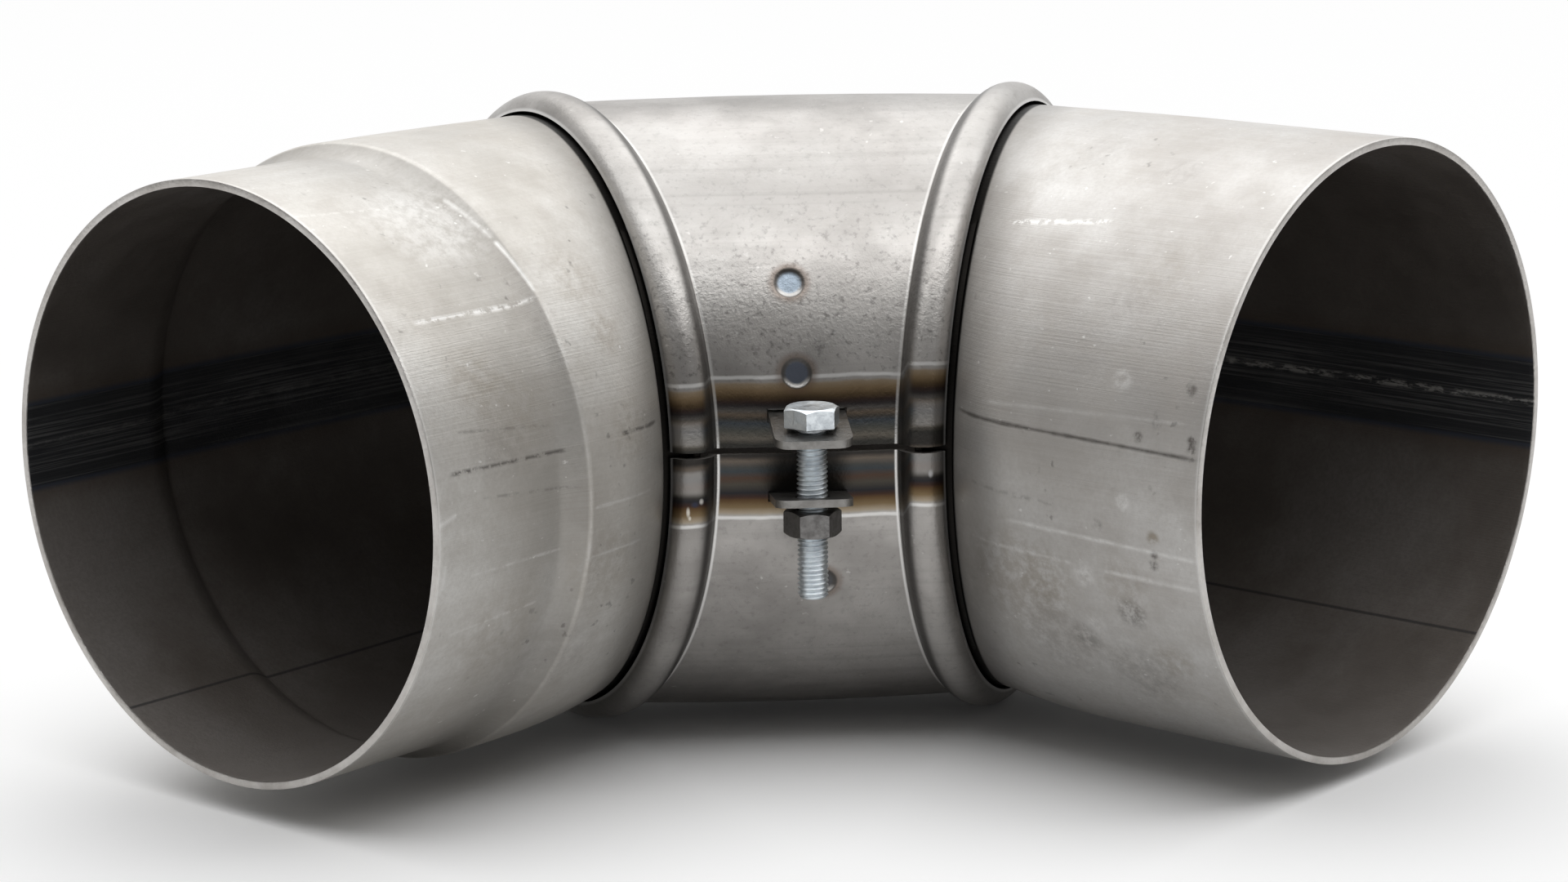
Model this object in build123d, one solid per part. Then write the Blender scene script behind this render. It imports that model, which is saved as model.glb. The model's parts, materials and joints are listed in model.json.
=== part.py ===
"""Adjustable flue elbow: two round legs that swivel in the rolled beads of a split clamp band."""
import math
import os

from build123d import *

# Driving dimensions, in mm and degrees
BORE_DIAMETER = 160.0
WALL = 2.0
BEND_ANGLE = 90.0
MITRE_SPACING = 122.0

# Legs: shoulder at the swivel, then straight tube, and on the inlet a taper and a spigot
SHOULDER_LENGTH = 64.0
THROAT_BEND = 14.0
HEEL_BEND = 44.0
INLET_STRAIGHT = 7.5
OUTLET_STRAIGHT = 58.5
TAPER_LENGTH = 13.0
SPIGOT_LENGTH = 42.0
SPIGOT_PLAY = 1.5

# Clamp band, with its steps from the tube's outside
BAND_STEP = 1.4
BAND_END = 4.6
BAND_BULGE = 1.0
SPLIT_GAP = 1.6
SPLIT_HEIGHT = 2.7
WELD_DIAMETER = 8.0
WELD_DEPTH = 0.4
UPPER_WELD_ANGLES = (15.4, 31.9)
LOWER_WELD_ANGLES = (-24.1, -36.0)

# Swivel joint: rolled bead on the band, neck and flared rim on the leg
BEAD_HEIGHT = 3.6
BEAD_HALF_WIDTH = 6.7
NECK_STEP = 2.5
NECK_LENGTH = 8.0
LIP_CLEARANCE = 1.0
RIM_CLEARANCE = 0.4

# Lugs
LUG_WIDTH = 20.0
LUG_THICKNESS = 2.0
LUG_CORNER = 4.0
LUG_END = 9.5
LUG_CLEARANCE = 0.4
STRIP_LENGTH_ANGLE = 34.0
UPPER_EAR_HEIGHT = 10.0
UPPER_EAR_SLOPE = 6.0
LOWER_EAR_HEIGHT = -7.6
LOWER_EAR_SLOPE = -8.0

# Clamp bolt and nut, M8
BOLT_REACH = 6.6
THREAD_DIAMETER = 8.0
BOLT_LENGTH = 45.0
TIP_CHAMFER = 0.8
HEX_ACROSS_FLATS = 13.0
HEAD_HEIGHT = 5.3
NUT_HEIGHT = 6.5
HOLE_PLAY = 0.5
NUT_PLAY = 0.05
SEAT_CLEARANCE = 0.15

# Derived sizes
MITRE = math.radians(BEND_ANGLE / 4)
COS_M = math.cos(MITRE)
SIN_M = math.sin(MITRE)
HALF_SPACING = MITRE_SPACING / 2
TUBE_RADIUS = BORE_DIAMETER / 2 + WALL
SPIGOT_RADIUS = BORE_DIAMETER / 2 - SPIGOT_PLAY
INLET_LENGTH = SHOULDER_LENGTH + INLET_STRAIGHT + TAPER_LENGTH + SPIGOT_LENGTH
OUTLET_LENGTH = SHOULDER_LENGTH + OUTLET_STRAIGHT
BAND_RADIUS = TUBE_RADIUS + BAND_STEP
NECK_RADIUS = BAND_RADIUS - NECK_STEP
LIP_RADIUS = NECK_RADIUS + LIP_CLEARANCE
BEAD_CREST = BAND_RADIUS + BEAD_HEIGHT
BEAD_CENTRE = BEAD_CREST - BEAD_HALF_WIDTH
RIM_RADIUS = BEAD_CREST - WALL - RIM_CLEARANCE
BAND_AXIS_Y = BAND_END * SIN_M
THROAT_WALL = BAND_RADIUS * COS_M + BAND_BULGE - BAND_AXIS_Y
BOLT_DISTANCE = BAND_RADIUS + BOLT_REACH
LUG_FRONT = BOLT_DISTANCE + LUG_END
HEX_RADIUS = HEX_ACROSS_FLATS / math.sqrt(3)
OVERRUN = 5.0

# The stored frame has its origin under the middle of the bounding box, with +Z up
LEG_RUN = math.cos(math.radians(BEND_ANGLE / 2))
X_LOW = -(HALF_SPACING + (INLET_LENGTH + SPIGOT_RADIUS) * LEG_RUN)
X_HIGH = HALF_SPACING + (OUTLET_LENGTH + TUBE_RADIUS) * LEG_RUN
Y_LOW = -max(INLET_LENGTH + SPIGOT_RADIUS, OUTLET_LENGTH + TUBE_RADIUS) * LEG_RUN
Y_HIGH = BEAD_CENTRE * COS_M + BEAD_HALF_WIDTH
SHIFT = Pos(-(X_LOW + X_HIGH) / 2, -(Y_LOW + Y_HIGH) / 2, BEAD_CREST)


def curve_point(start, control, end, t):
    """Point on a quadratic curve in the bend plane of a leg, as (along axis, toward throat)."""
    a = (1 - t) ** 2
    b = 2 * t * (1 - t)
    c = t * t
    return tuple(a * p + b * q + c * r for p, q, r in zip(start, control, end))


def shoulder(tube_radius, neck_radius, neck_end):
    """Solid that blends a leg's round tube into the tilted round neck at its swivel joint."""
    throat_end = (neck_end * COS_M + neck_radius * SIN_M, neck_radius * COS_M - neck_end * SIN_M)
    heel_end = (neck_end * COS_M - neck_radius * SIN_M, -neck_radius * COS_M - neck_end * SIN_M)
    throat_bend = (SHOULDER_LENGTH - THROAT_BEND, tube_radius)
    heel_bend = (SHOULDER_LENGTH - HEEL_BEND, -tube_radius)
    sections = []
    for t in (0.0, 0.25, 0.5, 0.75, 1.0):
        z1, x1 = curve_point((SHOULDER_LENGTH, tube_radius), throat_bend, throat_end, t)
        z2, x2 = curve_point((SHOULDER_LENGTH, -tube_radius), heel_bend, heel_end, t)
        span = math.hypot(x1 - x2, z1 - z2)
        normal = (-(z1 - z2) / span, 0, (x1 - x2) / span)
        plane = Plane(origin=((x1 + x2) / 2, 0, (z1 + z2) / 2), x_dir=(0, 1, 0), z_dir=normal)
        sections.append(plane * Circle(span / 2))
    return loft(sections)


def turned(points):
    """Solid of revolution about Z from (radius, height) points that start and end on the axis."""
    return revolve(Plane.XZ * make_face(Polyline(*points, close=True)), Axis.Z)


def leg_core(length, end_radius, inset, end_overrun):
    """Tube, shoulder and neck of one leg as a solid bar, in the leg's own frame."""
    tube = TUBE_RADIUS - inset
    end = end_radius - inset
    neck = NECK_RADIUS - inset
    neck_end = NECK_LENGTH + inset / 2
    if end_radius < TUBE_RADIUS:
        taper_start = length - SPIGOT_LENGTH - TAPER_LENGTH
        profile = [(0, SHOULDER_LENGTH), (tube, SHOULDER_LENGTH), (tube, taper_start)]
        profile += [(end, length - SPIGOT_LENGTH), (end, length + end_overrun), (0, length + end_overrun)]
    else:
        profile = [(0, SHOULDER_LENGTH), (tube, SHOULDER_LENGTH), (tube, length + end_overrun)]
        profile += [(0, length + end_overrun)]
    swivel = Plane(origin=(0, 0, 0), x_dir=(0, 1, 0), z_dir=(-SIN_M, 0, COS_M))
    neck_start = -WALL / 2 - end_overrun
    bar = swivel * turned([(0, neck_start), (neck, neck_start), (neck, neck_end), (0, neck_end)])
    return turned(profile) + shoulder(tube, neck, neck_end) + bar


def leg(length, end_radius):
    """One leg with its flared rim, in a frame with Z along the leg and X toward the throat."""
    swivel = Plane(origin=(0, 0, 0), x_dir=(0, 1, 0), z_dir=(-SIN_M, 0, COS_M))
    rim = swivel * Cylinder(RIM_RADIUS, WALL)
    return leg_core(length, end_radius, 0, 0) + rim - leg_core(length, end_radius, WALL, OVERRUN)


def leg_plane(side):
    """Frame of a leg: origin on the mitre centre, Z along the leg, X toward the throat."""
    half = math.radians(BEND_ANGLE / 2)
    along = (side * math.cos(half), -math.sin(half), 0)
    throat = (-side * math.sin(half), -math.cos(half), 0)
    return Plane(origin=(side * HALF_SPACING, 0, 0), x_dir=throat, z_dir=along)


def mitre_plane(side, inward):
    """Plane across the band, parallel to a mitre and set back from it toward the middle."""
    normal = (COS_M, -side * SIN_M, 0)
    centre = (side * (HALF_SPACING - inward * COS_M), inward * SIN_M, 0)
    return Plane(origin=centre, x_dir=(0, 0, 1), z_dir=normal)


def band_core(inset):
    """Slightly barrelled body of the band between its two mitres, as a solid bar."""
    middle = Plane(origin=(0, BAND_AXIS_Y, 0), x_dir=(0, 0, 1), z_dir=(1, 0, 0))
    radius = BAND_RADIUS - inset
    height = radius + BAND_BULGE
    depth = BAND_RADIUS * COS_M - inset + BAND_BULGE
    sections = [mitre_plane(-1, BAND_END) * Circle(radius)]
    sections.append(middle * Ellipse(height, depth))
    sections.append(mitre_plane(1, BAND_END) * Circle(radius))
    return loft(sections)


def bead(side):
    """Rolled bead that wraps a leg's flared rim, turned about the swivel axis."""
    ring = Circle(BEAD_HALF_WIDTH) - Circle(BEAD_HALF_WIDTH - WALL)
    section = Pos(BEAD_CENTRE, 0) * ring
    section &= Pos(LIP_RADIUS + BEAD_HALF_WIDTH, 0) * Rectangle(2 * BEAD_HALF_WIDTH, 4 * BEAD_HALF_WIDTH)
    return mitre_plane(side, 0) * Rot(0, 0, 90) * revolve(Plane.XZ * section, Axis.Z)


def ear_slab(height, slope, thickness, width, back):
    """Flat sloping plate that runs forward from the band past the bolt."""
    reach = LUG_FRONT + OVERRUN - back
    slab = Pos(0, -(reach / 2 + back - BOLT_DISTANCE), 0) * Box(width, reach, thickness)
    return Pos(0, -BOLT_DISTANCE, height) * Rot(slope, 0, 0) * slab


def wall_angle(height):
    """Angle above the throat, in degrees, at which the band's wall stands at a height."""
    return math.degrees(math.asin(height / (BAND_RADIUS + BAND_BULGE)))


def wall_point(angle):
    """Point on the band's outer wall in its middle plane."""
    a = math.radians(angle)
    y = BAND_AXIS_Y - (BAND_RADIUS * COS_M + BAND_BULGE) * math.cos(a)
    return (0, y, (BAND_RADIUS + BAND_BULGE) * math.sin(a))


def weld_dimple(angle):
    """Shallow round sink of one spot weld in the band's outer wall."""
    a = math.radians(angle)
    outward = (0, -math.cos(a) * (BAND_RADIUS + BAND_BULGE), math.sin(a) * (BAND_RADIUS * COS_M + BAND_BULGE))
    ball = ((WELD_DIAMETER / 2) ** 2 + WELD_DEPTH ** 2) / (2 * WELD_DEPTH)
    plane = Plane(origin=wall_point(angle), z_dir=outward)
    return plane * Pos(0, 0, ball - WELD_DEPTH) * Sphere(ball)


def clamp_band():
    """Split band with a bead at each end, two ear slots and the spot weld sinks."""
    band = band_core(0) + bead(-1) + bead(1) - band_core(WALL)
    split = Box(3 * HALF_SPACING, BAND_RADIUS, SPLIT_GAP)
    band -= Pos(0, -BAND_RADIUS / 2 - BAND_END, SPLIT_HEIGHT) * split
    slot_width = LUG_WIDTH + 2 * LUG_CLEARANCE
    slot_height = LUG_THICKNESS + 2 * LUG_CLEARANCE
    back = THROAT_WALL - 3 * WALL
    band -= ear_slab(UPPER_EAR_HEIGHT, UPPER_EAR_SLOPE, slot_height, slot_width, back)
    band -= ear_slab(LOWER_EAR_HEIGHT, LOWER_EAR_SLOPE, slot_height, slot_width, back)
    for angle in UPPER_WELD_ANGLES + LOWER_WELD_ANGLES:
        band -= weld_dimple(angle)
    return band


def lug(height, slope, up):
    """Bent lug: a curved strip inside the band and a drilled ear that comes out through its slot."""
    deep = BAND_RADIUS + BAND_BULGE - WALL - LUG_CLEARANCE
    flat = BAND_RADIUS * COS_M + BAND_BULGE - WALL - LUG_CLEARANCE
    ring = Ellipse(deep, flat) - Ellipse(deep - LUG_THICKNESS, flat - LUG_THICKNESS)
    root = height + (BOLT_DISTANCE - flat) * math.tan(math.radians(slope))
    start = math.radians(wall_angle(root - up * LUG_THICKNESS / 2))
    end = start + up * math.radians(STRIP_LENGTH_ANGLE)
    far = 2 * deep
    corners = [(0, 0), (far * math.sin(start), far * math.cos(start))]
    corners.append((far * math.sin(end), far * math.cos(end)))
    sector = make_face(Polyline(*corners, close=True))
    cross = Plane(origin=(0, BAND_AXIS_Y, 0), x_dir=(0, 0, 1), z_dir=(1, 0, 0))
    strip = cross * extrude(ring & sector, LUG_WIDTH / 2, both=True)
    inside = flat - BAND_AXIS_Y - LUG_THICKNESS / 2
    ear = ear_slab(height, slope, LUG_THICKNESS, LUG_WIDTH, inside)
    plan_depth = 2 * LUG_FRONT
    plan = extrude(RectangleRounded(LUG_WIDTH, plan_depth, LUG_CORNER), 2 * BAND_RADIUS, both=True)
    hole = Pos(0, -BOLT_DISTANCE, height) * Cylinder(THREAD_DIAMETER / 2 + HOLE_PLAY, 10 * LUG_THICKNESS)
    return (strip + ear) & plan - hole


def hexagon(height):
    """Hexagon prism with its outer corners turned down by a 30 degree chamfer at the top."""
    prism = extrude(RegularPolygon(HEX_RADIUS, 6), height)
    drop = (HEX_RADIUS - HEX_ACROSS_FLATS / 2) * math.tan(math.radians(30))
    inner = HEX_ACROSS_FLATS / 2
    outer = HEX_RADIUS + OVERRUN
    slip = drop * (outer - inner) / (HEX_RADIUS - inner)
    cap = [(0, 0), (outer, 0), (outer, height - slip), (inner, height), (0, height)]
    return prism & turned(cap)


def seat_drop(slope):
    """Extra height by which a hexagon clears a sloping ear."""
    return HEX_RADIUS * math.tan(math.radians(abs(slope))) + SEAT_CLEARANCE


def clamp_bolt():
    """Hex head bolt with its head above the upper ear."""
    shank = Pos(0, 0, -BOLT_LENGTH / 2) * Cylinder(THREAD_DIAMETER / 2, BOLT_LENGTH)
    tip = shank.edges().sort_by(Axis.Z)[0]
    return chamfer(tip, TIP_CHAMFER) + hexagon(HEAD_HEIGHT)


def clamp_nut():
    """Hex nut, drawn up under the lower ear."""
    blank = hexagon(NUT_HEIGHT) & Pos(0, 0, NUT_HEIGHT) * Rot(180, 0, 0) * hexagon(NUT_HEIGHT)
    return blank - Cylinder(THREAD_DIAMETER / 2 + NUT_PLAY, 4 * NUT_HEIGHT)


HALF_LUG = LUG_THICKNESS / 2
HEAD_SEAT = UPPER_EAR_HEIGHT + HALF_LUG / math.cos(math.radians(UPPER_EAR_SLOPE)) + seat_drop(UPPER_EAR_SLOPE)
NUT_SEAT = LOWER_EAR_HEIGHT - HALF_LUG / math.cos(math.radians(LOWER_EAR_SLOPE)) - seat_drop(LOWER_EAR_SLOPE)

nodes = {
    "inlet_leg": leg_plane(-1) * leg(INLET_LENGTH, SPIGOT_RADIUS),
    "outlet_leg": leg_plane(1) * leg(OUTLET_LENGTH, TUBE_RADIUS),
    "clamp_band": clamp_band(),
    "upper_lug": lug(UPPER_EAR_HEIGHT, UPPER_EAR_SLOPE, 1),
    "lower_lug": lug(LOWER_EAR_HEIGHT, LOWER_EAR_SLOPE, -1),
    "clamp_bolt": Pos(0, -BOLT_DISTANCE, HEAD_SEAT) * clamp_bolt(),
    "clamp_nut": Pos(0, -BOLT_DISTANCE, NUT_SEAT - NUT_HEIGHT) * clamp_nut(),
}

os.makedirs("parts", exist_ok=True)
for name, shape in nodes.items():
    export_step(SHIFT * shape, f"parts/{name}.step")
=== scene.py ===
"""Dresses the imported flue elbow: raw steel legs, heat tinted clamp band, lugs, bolt and nut."""
from __future__ import annotations

import json
import logging
import math
from dataclasses import dataclass
from enum import Enum
from typing import Callable, Optional, Sequence, Union

import bmesh
import bpy
from mathutils import Euler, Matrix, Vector

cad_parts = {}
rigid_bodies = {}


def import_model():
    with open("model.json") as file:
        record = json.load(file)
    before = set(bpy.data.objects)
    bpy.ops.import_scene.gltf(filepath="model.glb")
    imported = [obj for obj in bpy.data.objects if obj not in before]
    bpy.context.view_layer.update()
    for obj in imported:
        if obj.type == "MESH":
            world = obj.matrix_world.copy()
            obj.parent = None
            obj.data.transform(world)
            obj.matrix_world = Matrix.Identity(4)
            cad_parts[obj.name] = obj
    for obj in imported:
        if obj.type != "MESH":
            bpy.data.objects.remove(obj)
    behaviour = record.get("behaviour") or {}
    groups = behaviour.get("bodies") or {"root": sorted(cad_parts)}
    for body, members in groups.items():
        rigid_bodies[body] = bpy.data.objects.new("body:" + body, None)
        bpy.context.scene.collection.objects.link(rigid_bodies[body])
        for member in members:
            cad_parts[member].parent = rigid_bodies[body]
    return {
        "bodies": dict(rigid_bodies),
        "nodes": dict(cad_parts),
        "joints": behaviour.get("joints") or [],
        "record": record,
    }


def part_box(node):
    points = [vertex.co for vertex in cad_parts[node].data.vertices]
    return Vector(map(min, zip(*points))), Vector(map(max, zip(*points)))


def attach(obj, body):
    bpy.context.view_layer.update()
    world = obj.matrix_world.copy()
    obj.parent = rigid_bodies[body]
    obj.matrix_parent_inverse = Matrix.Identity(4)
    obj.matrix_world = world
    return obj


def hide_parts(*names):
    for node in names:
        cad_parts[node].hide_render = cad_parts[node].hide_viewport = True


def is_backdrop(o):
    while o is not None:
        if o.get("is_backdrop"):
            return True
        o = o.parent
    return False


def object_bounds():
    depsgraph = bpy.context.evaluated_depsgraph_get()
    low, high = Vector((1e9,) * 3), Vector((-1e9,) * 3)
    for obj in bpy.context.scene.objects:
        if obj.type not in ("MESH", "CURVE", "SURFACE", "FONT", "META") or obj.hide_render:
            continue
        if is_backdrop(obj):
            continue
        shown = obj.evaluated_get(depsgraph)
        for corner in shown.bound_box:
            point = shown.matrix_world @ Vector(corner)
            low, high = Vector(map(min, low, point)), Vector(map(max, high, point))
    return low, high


LOG = logging.getLogger("flue_elbow")
MM = 0.001
PER_METRE = 1000.0
WALL_SHARP_DEG = 38.0
BEVEL_FROM_DEG = 40.0
BROKEN_EDGE = 0.3 * MM
OFF_SHEET = 900.0  # mm, beyond the edge of any sheet

Socket = bpy.types.NodeSocket
Node = bpy.types.Node
Group = bpy.types.NodeTree
Material = bpy.types.Material
Mesh = bpy.types.Mesh
Thing = bpy.types.Object
Pair = tuple[float, float]
Triple = tuple[float, float, float]
Colour = Triple
Value = Union[float, Socket]
Paint = Union[Colour, Socket]
Stops = Sequence[tuple[float, Colour]]
Circle = Callable[[float], Vector]


class Wall(Enum):
    """Sides of a sheet metal wall, in the order of a mesh's material slots."""

    OUTSIDE = 0
    EDGE = 1
    INSIDE = 2


class Graph:
    """Small builder for the nodes of one shader tree."""

    def __init__(self, tree: Group) -> None:
        """Starts on the tree that receives the nodes."""
        self.tree = tree

    def add(self, kind: str, **settings: object) -> Node:
        """Adds a node.

        Args:
            kind: Node type, such as ShaderNodeMath.
            settings: Properties to set on the node.

        Returns:
            The new node.
        """
        node = self.tree.nodes.new(kind)
        for name, value in settings.items():
            setattr(node, name, value)
        return node

    def feed(self, socket: Socket, value: object) -> None:
        """Links a socket to another one, or sets its own value.

        Args:
            socket: Input that is fed.
            value: A socket to link from, a number, or a colour or vector of three numbers.
        """
        if isinstance(value, Socket):
            self.tree.links.new(value, socket)
        elif socket.type == "RGBA":
            socket.default_value = (*value, 1.0)
        else:
            socket.default_value = value

    def math(
        self, operation: str, a: Value, b: Value = 0.0, c: Value = 0.0, clamp: bool = False
    ) -> Socket:
        """Adds a math node.

        Args:
            operation: Blender's name of the operation.
            a: First value.
            b: Second value.
            c: Third value, for the operations that take one.
            clamp: Keeps the result between 0 and 1.

        Returns:
            The result.
        """
        node = self.add("ShaderNodeMath", operation=operation, use_clamp=clamp)
        for socket, value in zip(node.inputs, (a, b, c)):
            self.feed(socket, value)
        return node.outputs[0]

    def times(self, a: Value, b: Value) -> Socket:
        """Multiplies two values."""
        return self.math("MULTIPLY", a, b)

    def plus(self, a: Value, b: Value) -> Socket:
        """Adds two values."""
        return self.math("ADD", a, b)

    def minus(self, a: Value, b: Value) -> Socket:
        """Takes the second value from the first."""
        return self.math("SUBTRACT", a, b)

    def size(self, value: Value) -> Socket:
        """Drops a value's sign."""
        return self.math("ABSOLUTE", value)

    def clamp(self, value: Value) -> Socket:
        """Keeps a value between 0 and 1."""
        return self.math("ADD", value, 0.0, 0.0, True)

    def left_of_one(self, value: Value) -> Socket:
        """One less a value, kept between 0 and 1."""
        return self.math("SUBTRACT", 1.0, value, 0.0, True)

    def vector(self, operation: str, a: object, b: object = (0.0, 0.0, 0.0)) -> Node:
        """Adds a vector math node.

        Args:
            operation: Blender's name of the operation.
            a: First vector.
            b: Second vector.

        Returns:
            The node, whose outputs are a vector and a value.
        """
        node = self.add("ShaderNodeVectorMath", operation=operation)
        self.feed(node.inputs[0], a)
        self.feed(node.inputs[1], b)
        return node

    def scaled(self, vector: Socket, scale: Triple) -> Socket:
        """Multiplies a vector by three factors."""
        return self.vector("MULTIPLY", vector, scale).outputs[0]

    def in_mm(self, vector: Socket) -> Socket:
        """Turns a place in metres into mm."""
        return self.scaled(vector, (PER_METRE, PER_METRE, PER_METRE))

    def offset(self, a: object, b: object) -> Socket:
        """Vector from the second place to the first."""
        return self.vector("SUBTRACT", a, b).outputs[0]

    def length(self, vector: Socket) -> Socket:
        """Length of a vector."""
        return self.vector("LENGTH", vector).outputs[1]

    def dot(self, a: object, b: object) -> Socket:
        """Dot product of two vectors."""
        return self.vector("DOT_PRODUCT", a, b).outputs[1]

    def past_line(self, reach: Socket, run: object, share: Socket) -> Socket:
        """Distance of a place from a line's point.

        Args:
            reach: Vector from the line's start to the place.
            run: Vector from the line's start to its end.
            share: How far along the line its point lies, from 0 to 1.

        Returns:
            The distance.
        """
        node = self.add("ShaderNodeVectorMath", operation="SCALE")
        self.feed(node.inputs[0], run)
        self.feed(node.inputs["Scale"], share)
        return self.length(self.offset(reach, node.outputs[0]))

    def split(self, vector: Socket) -> tuple[Socket, Socket, Socket]:
        """Takes a vector apart into its three values."""
        node = self.add("ShaderNodeSeparateXYZ")
        self.feed(node.inputs[0], vector)
        return node.outputs[0], node.outputs[1], node.outputs[2]

    def mix(self, factor: Value, a: Paint, b: Paint) -> Socket:
        """Mixes two colours.

        Args:
            factor: Share of the second colour.
            a: First colour.
            b: Second colour.

        Returns:
            The mixed colour.
        """
        node = self.add("ShaderNodeMix", data_type="RGBA")
        self.feed(node.inputs[0], factor)
        self.feed(node.inputs[6], a)
        self.feed(node.inputs[7], b)
        return node.outputs[2]

    def ramp(self, factor: Socket, stops: Stops) -> Socket:
        """Turns a value into a colour along a ramp.

        Args:
            factor: Value from 0 to 1.
            stops: Position and colour of each stop.

        Returns:
            The colour.
        """
        node = self.add("ShaderNodeValToRGB")
        bar = node.color_ramp
        while len(bar.elements) < len(stops):
            bar.elements.new(1.0)
        for element, (place, colour) in zip(bar.elements, stops):
            element.position = place
            element.color = (*colour, 1.0)
        self.feed(node.inputs[0], factor)
        return node.outputs[0]

    def between(
        self, value: Value, low: float, high: float, to_low: float = 0.0, to_high: float = 1.0
    ) -> Socket:
        """Maps a span of values smoothly onto another span.

        Args:
            value: Value to map.
            low: Start of its span.
            high: End of its span.
            to_low: Result at the start.
            to_high: Result at the end.

        Returns:
            The mapped value.
        """
        node = self.add("ShaderNodeMapRange", interpolation_type="SMOOTHSTEP")
        for socket, number in zip(node.inputs[:5], (value, low, high, to_low, to_high)):
            self.feed(socket, number)
        return node.outputs[0]

    def noise(
        self, vector: Socket, scale: float, detail: float = 4.0, rough: float = 0.55
    ) -> Socket:
        """Adds a noise texture.

        Args:
            vector: Place to read the noise at.
            scale: Number of features per unit.
            detail: Number of octaves.
            rough: Share of the fine octaves.

        Returns:
            The noise value.
        """
        node = self.add("ShaderNodeTexNoise")
        self.feed(node.inputs["Vector"], vector)
        node.inputs["Scale"].default_value = scale
        node.inputs["Detail"].default_value = detail
        node.inputs["Roughness"].default_value = rough
        return node.outputs[0]

    def place(self, group: Group, **inputs: object) -> Node:
        """Places a node group and feeds its named inputs.

        Args:
            group: The group.
            inputs: Input values by name.

        Returns:
            The group's node.
        """
        node = self.add("ShaderNodeGroup", node_tree=group)
        for name, value in inputs.items():
            self.feed(node.inputs[name], value)
        return node


def new_group(
    name: str, vectors: Sequence[str], floats: Sequence[str], outputs: Sequence[str]
) -> tuple[Graph, Node, Node]:
    """Starts a shader node group that puts out values.

    Args:
        name: Name of the group.
        vectors: Names of its vector inputs.
        floats: Names of its value inputs.
        outputs: Names of its outputs.

    Returns:
        The builder, the group's input node and its output node.
    """
    tree = bpy.data.node_groups.new(name, "ShaderNodeTree")
    kinds = [(label, "INPUT", "NodeSocketVector") for label in vectors]
    kinds += [(label, "INPUT", "NodeSocketFloat") for label in floats]
    kinds += [(label, "OUTPUT", "NodeSocketFloat") for label in outputs]
    for label, way, kind in kinds:
        tree.interface.new_socket(name=label, in_out=way, socket_type=kind)
    graph = Graph(tree)
    return graph, graph.add("NodeGroupInput"), graph.add("NodeGroupOutput")


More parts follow.
